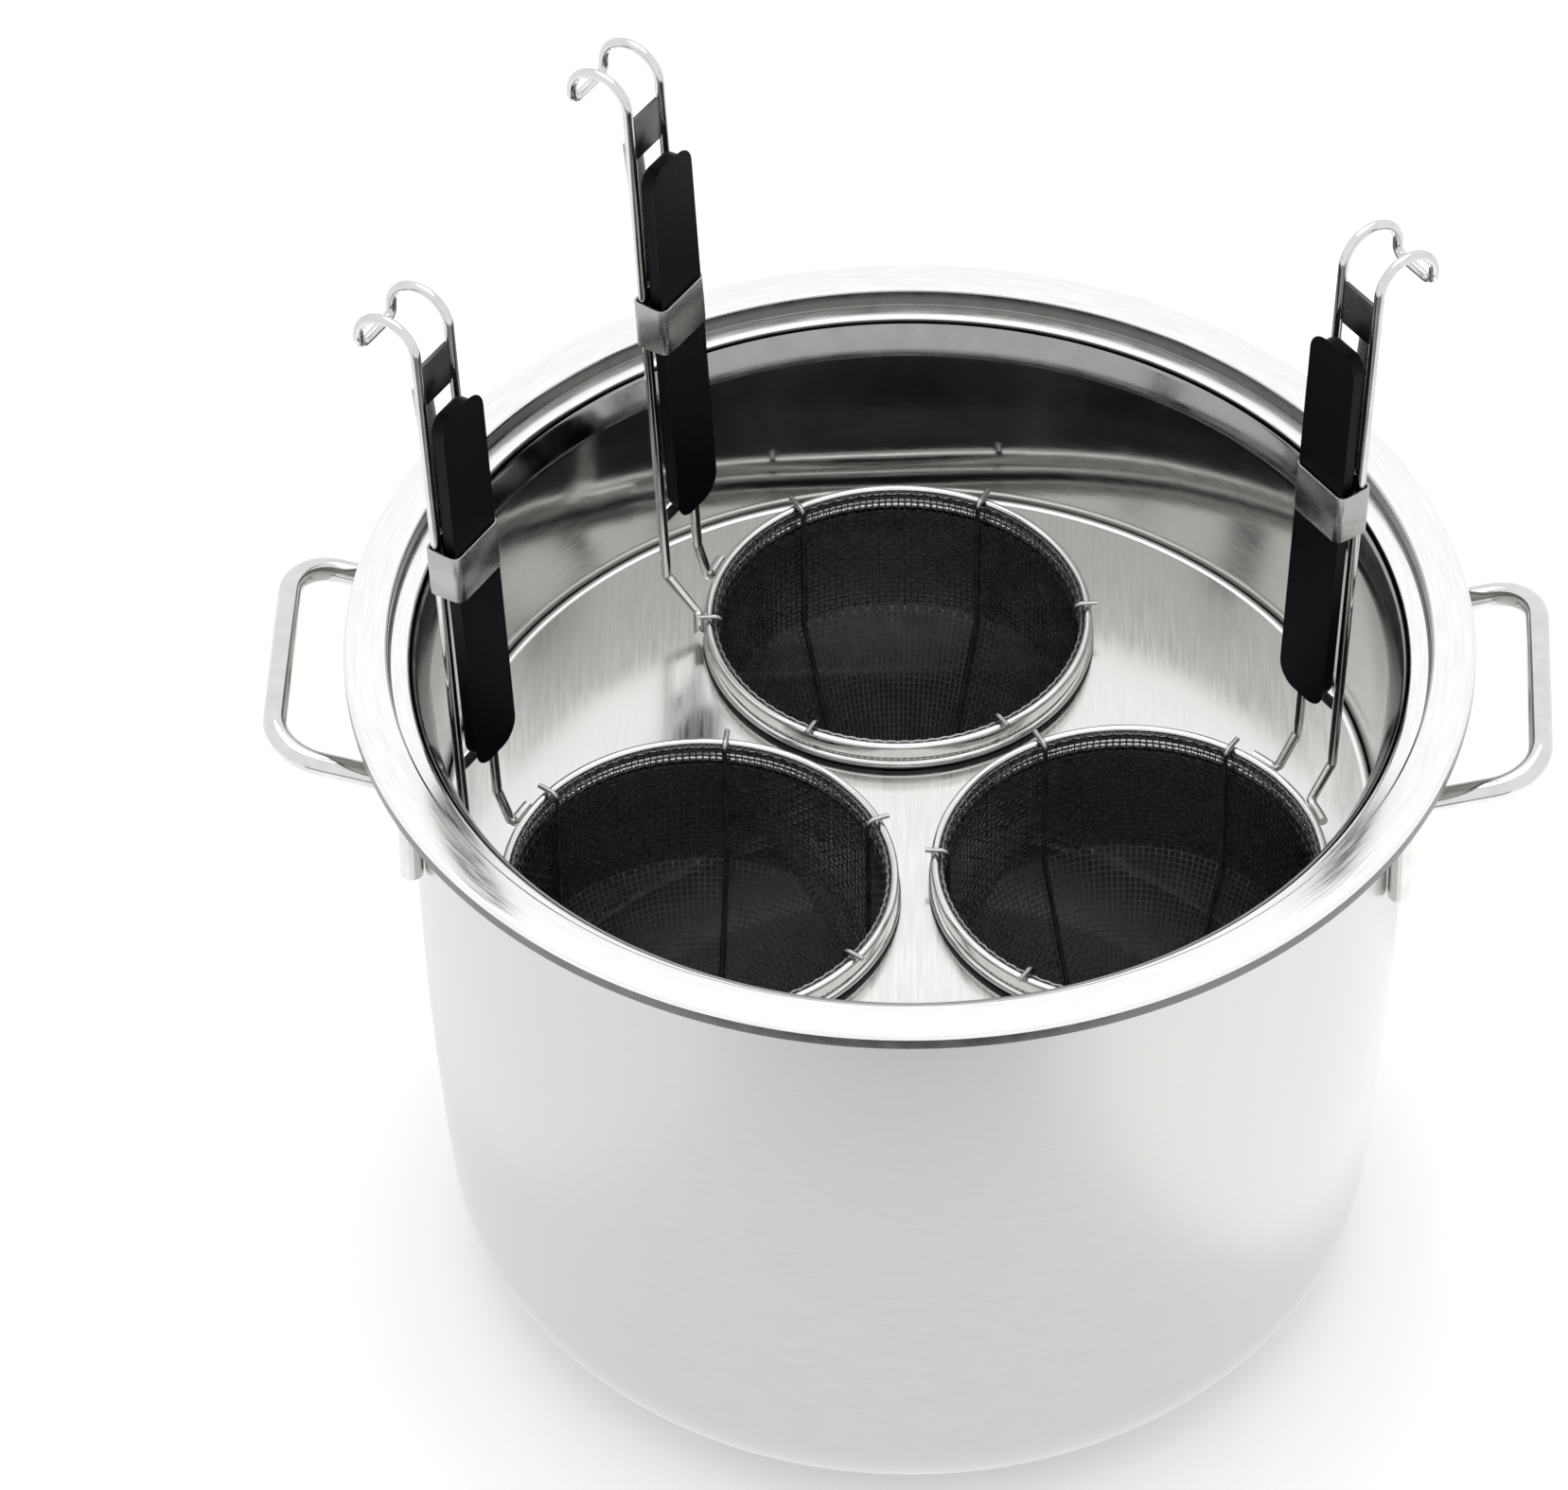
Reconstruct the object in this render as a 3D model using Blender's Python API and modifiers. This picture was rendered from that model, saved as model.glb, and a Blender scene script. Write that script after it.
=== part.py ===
"""Pasta pot: a steel pot with a divider plate that carries three lift-out sieve baskets.

Metres, +Z up. The origin is the centre of the pot's base on the surface it stands on.
The side handles lie along X, and the viewer stands at -Y.
"""
import math

import bmesh
import bpy
from mathutils import Matrix, Vector

# Clearances
SEAT_GAP = 0.0003            # between two pieces that touch or rest on each other
HOLE_CLEARANCE = 0.0010      # from a cup to the edge of its hole in the plate
PLATE_CLEARANCE = 0.0076     # from the plate's bead to the pot's wall
BASKET_CLEARANCE = 0.0059    # between the rib tips of two baskets
FLOOR_CLEARANCE = 0.0290     # from a cup's bottom to the pot's floor
CUT_OVERRUN = 0.0040         # how far a cutter passes the face that it cuts

# Sieve basket
CUP_RADIUS = 0.0540
CUP_THICKNESS = 0.0010
CUP_STRAIGHT = 0.0365        # depth of the straight part below the plate
CUP_DEPTH = 0.1255           # depth of the round bottom below the plate
CUP_BALL = 0.0261            # radius of the round bottom
BAND_TOP = 0.0092            # top of the rim band above the plate
BAND_HEIGHT = 0.0050
BAND_THICKNESS = 0.0024
STOP_WIRE = 0.0030
RIB_WIRE = 0.0016
RIB_BEND = 0.0020
RIB_OVERHANG = 0.0016        # how far a rib tip passes the band
RIB_COUNT = 6
BASE_RING_RADIUS = 0.0140
BASE_RING_WIRE = 0.0020
GRID_DROP = 0.0040           # from the plate's top down to the cup's first openings
GRID_BAR = 0.0030            # between two openings of the coarse grid
GRID_COLUMNS = 18
STRAIGHT_ROWS = 2
TAPER_ROWS = 5

# Basket handle
LEG_WIRE = 0.0030
LEG_SPACING = 0.0160         # centre to centre
LEG_OFFSET = 0.0062          # how far the legs stand outside the feet
LEG_LEAN = math.radians(3.2)
LEG_START = 0.0110           # height above the feet where the legs run straight
LEG_BEND = 0.0040
FOOT_LENGTH = 0.0090         # the part of a foot that lies along the band
GRIP_RISE = 0.0373           # from the feet to the grip
GRIP_LENGTH = 0.1245
GRIP_WIDTH = 0.0160
GRIP_DEPTH = 0.0060
GRIP_CORNER = 0.0050         # rounding of the grip's ends
GRIP_CHAMFER = 0.0016
TIE_THICKNESS = 0.0012
LOWER_TIE_DROP = 0.0020      # from the grip down to the lower tie
LOWER_TIE_HEIGHT = 0.0050
UPPER_TIE_RISE = 0.0030      # from the grip up to the upper tie
UPPER_TIE_HEIGHT = 0.0140
HOOK_RISE = 0.0044           # from the upper tie up to the start of the hook
HOOK_RADIUS = 0.0095
HOOK_DROP = 0.0035           # from the end of the hook's arc down to its tip
HOOK_CORNER = 0.0030
CLIP_SHEET = 0.0008
CLIP_HEIGHT = 0.0160
CLIP_RISE = 0.0620           # from the grip's lower end to the clip
TONGUE_WIDTH = 0.0080
TONGUE_THICKNESS = 0.0010
TONGUE_LENGTH = 0.0510       # above the clip
TONGUE_GAP = 0.0035          # from the legs to the tongue's free end

# Divider plate
PLATE_THICKNESS = 0.0012
PLATE_BEAD = 0.0032
BEAD_PROUD = 0.0004          # how far the bead stands above the plate
PLATE_MARGIN = 0.0077        # from a hole to the plate's outer edge
PLATE_DEPTH = 0.0675         # from the pot's rim down to the plate

# Pot
POT_SHEET = 0.0011
POT_FLOOR = 0.0040
POT_STRAIGHT = 0.0660        # depth of the wall's upright part below the rim
POT_BELLY_RADIUS = 1.3700    # long arc of the wall below the upright part
POT_CORNER_RADIUS = 0.0360
SEAT_DEPTH = 0.0055          # step for the lid
SEAT_WIDTH = 0.0065
FLANGE_WIDTH = 0.0125
LIP_DROP = 0.0045
LIP_ROUND = 0.0016
EDGE_ROUND = 0.0006

# Brackets under the plate
BRACKET_SHEET = 0.0015
BRACKET_WIDTH = 0.0180
BRACKET_LEG = 0.0200
BRACKET_OVERLAP = 0.0090     # how far a shelf reaches under the plate

# Side handles
ROD = 0.0070
ROD_REACH = 0.0369           # from the wall to the middle of the outer bar
ROD_WIDTH = 0.0800           # centre to centre of the two arms
ROD_DROP = 0.0140            # from the rim down to the outer bar
ROD_RISE = 0.0110            # from the foot's bend up to the outer bar
ROD_FOOT = 0.0350            # upright foot on the wall
ROD_CORNER = 0.0140
ROD_FOOT_BEND = 0.0090

# Directions, as angles about +Z from +X
ROD_TURN = math.radians(-1.8)
BASKETS = {
    "back": {"place": 92.6, "rib": 3.0, "foot": 170.0, "grip": 147.0},
    "left": {"place": 212.6, "rib": 23.0, "foot": 165.0, "grip": 148.0},
    "right": {"place": 332.6, "rib": -3.0, "foot": 35.0, "grip": 36.0},
}
BRACKETS = {"right": 30.0, "left": 150.0, "front": 270.0}

# Facets
POT_STEPS = 48
BASKET_STEPS = 36
SMALL_RING_STEPS = 16
WIRE_SIDES = 8
ARC_SEGMENTS = 4
MERGE = 0.00001
SHARP = math.radians(35)

# Heights and radii that follow
FULL_TURN = 2 * math.pi
QUARTER = math.pi / 2
BAND_INNER = CUP_RADIUS + SEAT_GAP
BAND_OUTER = BAND_INNER + BAND_THICKNESS
RIB_TIP = BAND_OUTER + RIB_OVERHANG
HOLE_RADIUS = CUP_RADIUS + HOLE_CLEARANCE
BASKET_SPREAD = (2 * RIB_TIP + BASKET_CLEARANCE) / math.sqrt(3)
PLATE_RADIUS = BASKET_SPREAD + HOLE_RADIUS + PLATE_MARGIN
BORE = PLATE_RADIUS + PLATE_CLEARANCE
WALL_OUTER = BORE + POT_SHEET
PLATE_TOP = POT_FLOOR + FLOOR_CLEARANCE + CUP_DEPTH
POT_HEIGHT = PLATE_TOP + PLATE_DEPTH
STRAIGHT_BASE = POT_HEIGHT - POT_STRAIGHT
BALL_MIDDLE = CUP_BALL - CUP_DEPTH
TAPER_DEPTH = BALL_MIDDLE + CUP_STRAIGHT
CUP_TAPER = math.atan2(CUP_RADIUS, -TAPER_DEPTH) - math.asin(CUP_BALL / math.hypot(CUP_RADIUS, TAPER_DEPTH))
FOOT_RADIUS = BAND_OUTER + SEAT_GAP + LEG_WIRE / 2
FOOT_HEIGHT = BAND_TOP - BAND_HEIGHT / 2
TIE_WIDTH = LEG_SPACING - LEG_WIRE - 2 * SEAT_GAP
GRIP_SETBACK = (LEG_WIRE + GRIP_DEPTH) / 2 + SEAT_GAP
GRIP_TOP = GRIP_RISE + GRIP_LENGTH
HOOK_START = GRIP_TOP + UPPER_TIE_RISE + UPPER_TIE_HEIGHT + HOOK_RISE
CLIP_BASE = GRIP_RISE + CLIP_RISE

# Finishes: colour, metallic, roughness
POLISHED = ((0.80, 0.80, 0.79), 1.0, 0.12)
SATIN = ((0.74, 0.74, 0.73), 1.0, 0.32)
WOVEN = ((0.55, 0.55, 0.55), 1.0, 0.40)
BLACK = ((0.012, 0.012, 0.013), 0.0, 0.38)


def clear_scene():
    for old in list(bpy.data.objects):
        bpy.data.objects.remove(old)


def collection(name):
    made = bpy.data.collections.new(name)
    bpy.context.scene.collection.children.link(made)
    return made


def material(name, finish):
    colour, metallic, roughness = finish
    made = bpy.data.materials.new(name)
    made.use_nodes = True
    shader = made.node_tree.nodes["Principled BSDF"]
    shader.inputs["Base Color"].default_value = (*colour, 1)
    shader.inputs["Metallic"].default_value = metallic
    shader.inputs["Roughness"].default_value = roughness
    return made


def place(name, data, parent=None, location=(0, 0, 0), rotation=(0, 0, 0)):
    obj = bpy.data.objects.new(name, data)
    obj.parent = parent
    obj.location = location
    obj.rotation_euler = rotation
    PARTS.objects.link(obj)
    return obj


def guide(name, data, location=(0, 0, 0), rotation=(0, 0, 0)):
    """A cutter or a shape to join: it shapes a part and is no part itself."""
    obj = bpy.data.objects.new(name, data)
    obj.location = location
    obj.rotation_euler = rotation
    obj.hide_render = True
    obj.display_type = "WIRE"
    CUTTERS.objects.link(obj)
    return obj


def finished(obj, name):
    """The mesh of a guide with its modifiers applied, and smooth apart from its sharp edges."""
    bpy.context.view_layer.update()
    graph = bpy.context.evaluated_depsgraph_get()
    mesh = bpy.data.meshes.new_from_object(obj.evaluated_get(graph))
    mesh.name = name
    mesh.shade_smooth()
    mesh.set_sharp_from_angle(angle=SHARP)
    bpy.data.objects.remove(obj)
    return mesh


def arc(centre, radius, start, end, segments):
    """Points (radius, height) of an arc; both ends are among them."""
    angles = [start + (end - start) * step / segments for step in range(segments + 1)]
    return [(centre[0] + radius * math.cos(a), centre[1] + radius * math.sin(a)) for a in angles]


def turned(name, profile, steps, finish, closed=False):
    """A mesh turned about Z from a profile that runs down its outer side."""
    mesh = bpy.data.meshes.new(name)
    edges = [(index, index + 1) for index in range(len(profile) - 1)]
    if closed:
        edges.append((len(profile) - 1, 0))
    mesh.from_pydata([(radius, 0, height) for radius, height in profile], edges, [])
    obj = guide(name, mesh)
    screw = obj.modifiers.new("Turn", "SCREW")
    screw.angle = FULL_TURN
    screw.steps = steps
    screw.render_steps = steps
    screw.use_merge_vertices = True
    screw.merge_threshold = MERGE
    made = finished(obj, name)
    made.materials.append(material(name, finish))
    return made


def wire_ring(name, radius, wire, height, steps, finish):
    """A closed ring of round wire."""
    section = arc((radius, height), wire / 2, QUARTER, QUARTER - FULL_TURN, WIRE_SIDES)
    return turned(name, section[:-1], steps, finish, closed=True)


def bent_path(corners, bends):
    """Points of a bent rod: straight between its corners, with an arc at each inner one."""
    corners = [Vector(corner) for corner in corners]
    points = [corners[0]]
    for index, bend in enumerate(bends, start=1):
        corner = corners[index]
        arriving = (corner - corners[index - 1]).normalized()
        leaving = (corners[index + 1] - corner).normalized()
        turn = arriving.angle(leaving)
        if turn < SHARP / 2:
            points.append(corner)
            continue
        middle = corner + (leaving - arriving).normalized() * bend / math.cos(turn / 2)
        spoke = corner - arriving * bend * math.tan(turn / 2) - middle
        axis = arriving.cross(leaving).normalized()
        for step in range(ARC_SEGMENTS + 1):
            points.append(middle + Matrix.Rotation(turn * step / ARC_SEGMENTS, 3, axis) @ spoke)
    points.append(corners[-1])
    return points


def rod(name, points, diameter, resolution, finish):
    """A round rod or wire along points."""
    curve = bpy.data.curves.new(name, "CURVE")
    curve.dimensions = "3D"
    curve.bevel_depth = diameter / 2
    curve.bevel_resolution = resolution
    curve.use_fill_caps = True
    spline = curve.splines.new("POLY")
    spline.points.add(len(points) - 1)
    for target, point in zip(spline.points, points):
        target.co = (*point, 1)
    spline.use_smooth = True
    curve.materials.append(material(name, finish))
    return curve


def flat_outline(name, outline, width):
    """A flat outline in X and Y with its thickness along Z."""
    curve = bpy.data.curves.new(name, "CURVE")
    curve.dimensions = "2D"
    curve.fill_mode = "BOTH"
    curve.extrude = width / 2
    spline = curve.splines.new("POLY")
    spline.points.add(len(outline) - 1)
    for target, point in zip(spline.points, outline):
        target.co = (*point, 0, 1)
    spline.use_cyclic_u = True
    return curve


def welded(curve, name, rotation):
    """The closed mesh of a flat outline, turned as asked."""
    shape = guide(name, curve)
    bpy.context.view_layer.update()
    graph = bpy.context.evaluated_depsgraph_get()
    mesh = bpy.data.meshes.new_from_object(shape.evaluated_get(graph))
    bpy.data.objects.remove(shape)
    work = bmesh.new()
    work.from_mesh(mesh)
    bmesh.ops.remove_doubles(work, verts=work.verts, dist=MERGE)
    bmesh.ops.transform(work, matrix=rotation, verts=work.verts)
    work.to_mesh(mesh)
    work.free()
    mesh.name = name
    return mesh


def block(name, size, centre=(0, 0, 0)):
    """A box mesh of the given size round a centre."""
    work = bmesh.new()
    bmesh.ops.create_cube(work, size=1)
    bmesh.ops.scale(work, vec=size, verts=work.verts)
    bmesh.ops.translate(work, vec=centre, verts=work.verts)
    mesh = bpy.data.meshes.new(name)
    work.to_mesh(mesh)
    work.free()
    return mesh


def boolean(obj, operation, other):
    step = obj.modifiers.new(operation.title(), "BOOLEAN")
    step.operation = operation
    step.solver = "EXACT"
    step.object = other


def pot_profile():
    """The drawn sheet: floor, corner, wall, lid seat, flange, lip, and back down outside."""
    upright = STRAIGHT_BASE - POT_CORNER_RADIUS
    inset = math.sqrt((POT_BELLY_RADIUS - POT_CORNER_RADIUS) ** 2 - upright ** 2)
    belly = (WALL_OUTER - POT_BELLY_RADIUS, STRAIGHT_BASE)
    corner = (belly[0] + inset, POT_CORNER_RADIUS)
    meet = math.atan2(upright, inset)
    inner_corner = POT_CORNER_RADIUS - POT_SHEET
    floor_angle = math.asin((POT_CORNER_RADIUS - POT_FLOOR) / inner_corner)
    seat = POT_HEIGHT - SEAT_DEPTH
    step = BORE + SEAT_WIDTH
    rim = step + FLANGE_WIDTH
    under = POT_HEIGHT - POT_SHEET
    points = [(0, POT_FLOOR)]
    points += arc(corner, inner_corner, -floor_angle, -meet, ARC_SEGMENTS)
    points += arc(belly, POT_BELLY_RADIUS - POT_SHEET, -meet, 0, ARC_SEGMENTS)[1:]
    points += [(BORE, seat - EDGE_ROUND), (BORE + EDGE_ROUND, seat)]
    points += [(step - EDGE_ROUND, seat), (step, seat + EDGE_ROUND)]
    points += [(step, POT_HEIGHT - EDGE_ROUND), (step + EDGE_ROUND, POT_HEIGHT)]
    points += arc((rim - LIP_ROUND, POT_HEIGHT - LIP_ROUND), LIP_ROUND, QUARTER, 0, ARC_SEGMENTS // 2)
    points += [(rim, POT_HEIGHT - LIP_DROP), (rim - POT_SHEET, POT_HEIGHT - LIP_DROP)]
    points += [(rim - POT_SHEET, POT_HEIGHT - LIP_ROUND), (rim - LIP_ROUND, under)]
    points += [(step + POT_SHEET, under), (step + POT_SHEET, seat - POT_SHEET)]
    points += [(WALL_OUTER, seat - POT_SHEET)]
    points += arc(belly, POT_BELLY_RADIUS, 0, -meet, ARC_SEGMENTS)
    points += arc(corner, POT_CORNER_RADIUS, -meet, -QUARTER, ARC_SEGMENTS + 2)[1:]
    points += [(0, 0)]
    return points


def make_pot():
    place("pot_body", turned("pot_body", pot_profile(), POT_STEPS, SATIN))


def make_side_handles():
    half = ROD_WIDTH / 2
    foot = math.sqrt((WALL_OUTER + SEAT_GAP + ROD / 2) ** 2 - half ** 2)
    bar = WALL_OUTER + ROD_REACH
    bar_height = POT_HEIGHT - ROD_DROP
    bend_height = bar_height - ROD_RISE
    side = [(foot, bend_height - ROD_FOOT), (foot, bend_height), (bar, bar_height)]
    corners = [(x, -half, z) for x, z in side] + [(x, half, z) for x, z in reversed(side)]
    bends = [ROD_FOOT_BEND, ROD_CORNER, ROD_CORNER, ROD_FOOT_BEND]
    for tag, turn in (("right", ROD_TURN), ("left", ROD_TURN + math.pi)):
        name = f"side_handle_{tag}"
        place(name, rod(name, bent_path(corners, bends), ROD, 4, SATIN), rotation=(0, 0, turn))


def basket_place(tag):
    angle = math.radians(BASKETS[tag]["place"])
    return Vector((BASKET_SPREAD * math.cos(angle), BASKET_SPREAD * math.sin(angle), PLATE_TOP))


def plate_profile():
    radius = PLATE_BEAD / 2
    middle = (PLATE_RADIUS - radius, PLATE_TOP + BEAD_PROUD - radius)
    above = math.asin((radius - BEAD_PROUD) / radius)
    below = math.asin((radius - BEAD_PROUD - PLATE_THICKNESS) / radius)
    bead = arc(middle, radius, math.pi - above, -math.pi - below, 2 * ARC_SEGMENTS)
    return [(0, PLATE_TOP), *bead, (0, PLATE_TOP - PLATE_THICKNESS)]


def make_plate():
    disc = guide("plate_disc", turned("divider_plate", plate_profile(), POT_STEPS, POLISHED))
    cutters = []
    for tag in BASKETS:
        work = bmesh.new()
        bmesh.ops.create_cone(work, cap_ends=True, segments=POT_STEPS, radius1=HOLE_RADIUS,
                              radius2=HOLE_RADIUS, depth=PLATE_THICKNESS + 2 * CUT_OVERRUN)
        mesh = bpy.data.meshes.new(f"hole_{tag}")
        work.to_mesh(mesh)
        work.free()
        cutter = guide(f"hole_{tag}", mesh, location=basket_place(tag))
        boolean(disc, "DIFFERENCE", cutter)
        cutters.append(cutter)
    place("divider_plate", finished(disc, "divider_plate"))
    for cutter in cutters:
        bpy.data.objects.remove(cutter)


def make_brackets():
    """Angle pieces on the wall; the plate's bead lies on their shelves."""
    half = BRACKET_WIDTH / 2
    wall = BORE * math.cos(math.pi / POT_STEPS)
    back = math.sqrt(wall ** 2 - half ** 2) - SEAT_GAP
    front = PLATE_RADIUS - BRACKET_OVERLAP
    top = PLATE_TOP + BEAD_PROUD - PLATE_BEAD - SEAT_GAP
    inner = back - BRACKET_SHEET
    outline = [(front, top), (back, top), (back, top - BRACKET_LEG), (inner, top - BRACKET_LEG),
               (inner, top - BRACKET_SHEET), (front, top - BRACKET_SHEET)]
    upright = Matrix.Rotation(QUARTER, 4, "X")
    for tag, angle in BRACKETS.items():
        name = f"plate_bracket_{tag}"
        mesh = welded(flat_outline(name, outline, BRACKET_WIDTH), name, upright)
        mesh.materials.append(material(name, SATIN))
        place(name, mesh, rotation=(0, 0, math.radians(angle)))


def cup_line(offset):
    """One side of the cup's wall, from its mouth down to its pole, inset by offset."""
    radius = CUP_RADIUS - offset
    knee = offset * math.tan(CUP_TAPER / 2) - CUP_STRAIGHT
    bottom = arc((0, BALL_MIDDLE), CUP_BALL - offset, -CUP_TAPER, -QUARTER, ARC_SEGMENTS)
    return [(radius, BAND_TOP - SEAT_GAP), (radius, knee), *bottom]


def spaced(first, last, count):
    """Points from one to another in even steps; both ends are among them."""
    return [tuple(Vector(first).lerp(Vector(last), step / count)) for step in range(count + 1)]


def cup_mesh():
    """The sieve: a turned skin with a coarse grid of openings, made thick on its inside."""
    mouth, knee, *bottom = cup_line(0)
    upper = spaced((CUP_RADIUS, -GRID_DROP), knee, STRAIGHT_ROWS)
    lower = spaced(knee, bottom[0], TAPER_ROWS)
    skin = turned("cup", [mouth, *upper, *lower[1:], *bottom[1:]], GRID_COLUMNS, WOVEN)
    work = bmesh.new()
    work.from_mesh(skin)
    cells = [face for face in work.faces if bottom[0][1] < face.calc_center_median().z < -GRID_DROP]
    bmesh.ops.inset_individual(work, faces=cells, thickness=GRID_BAR / 2, use_even_offset=True)
    bmesh.ops.delete(work, geom=cells, context="FACES")
    work.to_mesh(skin)
    work.free()
    obj = guide("cup", skin)
    wall = obj.modifiers.new("Wall", "SOLIDIFY")
    wall.thickness = CUP_THICKNESS
    wall.offset = -1
    wall.use_even_offset = True
    return finished(obj, "cup")


def rib_points():
    """A rib: up along the inside of the cup and out over the band."""
    facet = CUP_RADIUS * (1 - math.cos(math.pi / BASKET_STEPS))
    inset = CUP_THICKNESS + facet + SEAT_GAP + RIB_WIRE / 2
    line = cup_line(inset)
    track = CUP_BALL - inset
    reach = (BASE_RING_WIRE / 2 + SEAT_GAP) / track
    end = -math.acos(BASE_RING_RADIUS / track) + reach
    bottom = arc((0, BALL_MIDDLE), track, -CUP_TAPER, end, ARC_SEGMENTS // 2)
    top = BAND_TOP + SEAT_GAP + RIB_WIRE / 2
    over = [(RIB_TIP, 0, top), (line[0][0], 0, top), (line[1][0], 0, line[1][1])]
    return bent_path(over, [RIB_BEND]) + [(radius, 0, height) for radius, height in bottom]


def base_ring_height():
    facet = CUP_RADIUS * (1 - math.cos(math.pi / BASKET_STEPS))
    track = CUP_BALL - CUP_THICKNESS - facet - SEAT_GAP - BASE_RING_WIRE / 2
    return BALL_MIDDLE - math.sqrt(track ** 2 - BASE_RING_RADIUS ** 2)


def handle_frame(tag):
    """Frame of a basket's handle: its Z runs up the legs and its X points outward."""
    foot = math.radians(BASKETS[tag]["foot"])
    grip = math.radians(BASKETS[tag]["grip"])
    base = Vector((FOOT_RADIUS * math.cos(foot), FOOT_RADIUS * math.sin(foot), FOOT_HEIGHT))
    outward = Vector((math.cos(grip), math.sin(grip), 0))
    shift = Matrix.Translation(base + outward * LEG_OFFSET)
    return shift @ Matrix.Rotation(grip, 4, "Z") @ Matrix.Rotation(LEG_LEAN, 4, "Y")


def leg_points(tag, side):
    """Half of the handle wire, from the end of a foot up to the middle of the hook's tip."""
    foot = math.radians(BASKETS[tag]["foot"])
    half = LEG_SPACING / 2
    frame = handle_frame(tag)
    lying = [half + FOOT_LENGTH, half + FOOT_LENGTH / 2, half]
    angles = [foot + side * along / FOOT_RADIUS for along in lying]
    feet = [Vector((FOOT_RADIUS * math.cos(a), FOOT_RADIUS * math.sin(a), FOOT_HEIGHT)) for a in angles]
    rise = [frame @ Vector((0, side * half, height)) for height in (LEG_START, HOOK_START)]
    hook = arc((HOOK_RADIUS, HOOK_START), HOOK_RADIUS, math.pi, 0, 2 * ARC_SEGMENTS)
    bow = [frame @ Vector((x, side * half, z)) for x, z in hook]
    tip = [frame @ Vector((2 * HOOK_RADIUS, side * y, HOOK_START - HOOK_DROP)) for y in (half, 0)]
    lower = bent_path([*feet[1:], *rise], [LEG_BEND / 2, LEG_BEND / 2])
    upper = bent_path([bow[-1], *tip], [HOOK_CORNER])
    return [feet[0], *lower[:-1], *bow, *upper[1:-1]]


def make_handle_wire(tag, basket):
    near = leg_points(tag, 1)
    far = leg_points(tag, -1)
    name = f"basket_{tag}_handle_wire"
    place(name, rod(name, near + list(reversed(far)), LEG_WIRE, 2, SATIN), parent=basket)


def grip_mesh():
    """A bar with rounded ends and bevelled edges that lies on the inner side of both legs."""
    middle = GRIP_WIDTH / 2 - GRIP_CORNER
    end = GRIP_LENGTH / 2 - GRIP_CORNER
    outline = []
    for index, centre in enumerate(((middle, end), (-middle, end), (-middle, -end), (middle, -end))):
        outline += arc(centre, GRIP_CORNER, index * QUARTER, (index + 1) * QUARTER, ARC_SEGMENTS)
    upright = Matrix.Rotation(QUARTER, 4, "Z") @ Matrix.Rotation(QUARTER, 4, "X")
    obj = guide("grip", welded(flat_outline("grip", outline, GRIP_DEPTH), "grip", upright))
    edge = obj.modifiers.new("Edges", "BEVEL")
    edge.width = GRIP_CHAMFER
    edge.segments = 2
    mesh = finished(obj, "grip")
    mesh.materials.append(material("grip", BLACK))
    return mesh


def clip_mesh():
    """A collar round the grip and both legs, with a tongue that springs away from the legs."""
    inside = (GRIP_DEPTH + LEG_WIRE + 3 * SEAT_GAP, LEG_SPACING + LEG_WIRE + 2 * SEAT_GAP)
    outside = [span + 2 * CLIP_SHEET for span in inside]
    middle = (-(GRIP_DEPTH + SEAT_GAP) / 2, 0, 0)
    collar = guide("clip", block("clip", (*outside, CLIP_HEIGHT), middle))
    core = guide("clip_core", block("clip_core", (*inside, CLIP_HEIGHT + CUT_OVERRUN), middle))
    face = LEG_WIRE / 2 + SEAT_GAP + CLIP_SHEET
    root = face - CLIP_SHEET / 2
    tip = LEG_WIRE / 2 + TONGUE_GAP
    low = -CLIP_HEIGHT / 2
    high = CLIP_HEIGHT / 2
    end = high + TONGUE_LENGTH
    outline = [(root, low), (face + TONGUE_THICKNESS, low), (face + TONGUE_THICKNESS, high),
               (tip + TONGUE_THICKNESS, end), (tip, end), (root, high)]
    strip = welded(flat_outline("tongue", outline, TONGUE_WIDTH), "tongue", Matrix.Rotation(QUARTER, 4, "X"))
    tongue = guide("tongue", strip)
    boolean(collar, "DIFFERENCE", core)
    boolean(collar, "UNION", tongue)
    mesh = finished(collar, "grip_clip")
    mesh.materials.append(material("grip_clip", POLISHED))
    for helper in (core, tongue):
        bpy.data.objects.remove(helper)
    return mesh


def tie_mesh(name, height):
    mesh = block(name, (TIE_THICKNESS, TIE_WIDTH, height))
    mesh.materials.append(material(name, SATIN))
    return mesh


def basket_meshes():
    """The meshes that all baskets share, each in its basket's own frame."""
    band = [(BAND_INNER, BAND_TOP), (BAND_OUTER, BAND_TOP),
            (BAND_OUTER, BAND_TOP - BAND_HEIGHT), (BAND_INNER, BAND_TOP - BAND_HEIGHT)]
    stop_radius = BAND_INNER + STOP_WIRE / 2
    stop_height = SEAT_GAP + STOP_WIRE / 2
    return {
        "cup": cup_mesh(),
        "rim_band": turned("rim_band", band, BASKET_STEPS, POLISHED, closed=True),
        "stop_ring": wire_ring("stop_ring", stop_radius, STOP_WIRE, stop_height, BASKET_STEPS, POLISHED),
        "base_ring": wire_ring("base_ring", BASE_RING_RADIUS, BASE_RING_WIRE, base_ring_height(),
                               SMALL_RING_STEPS, SATIN),
    }


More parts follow.
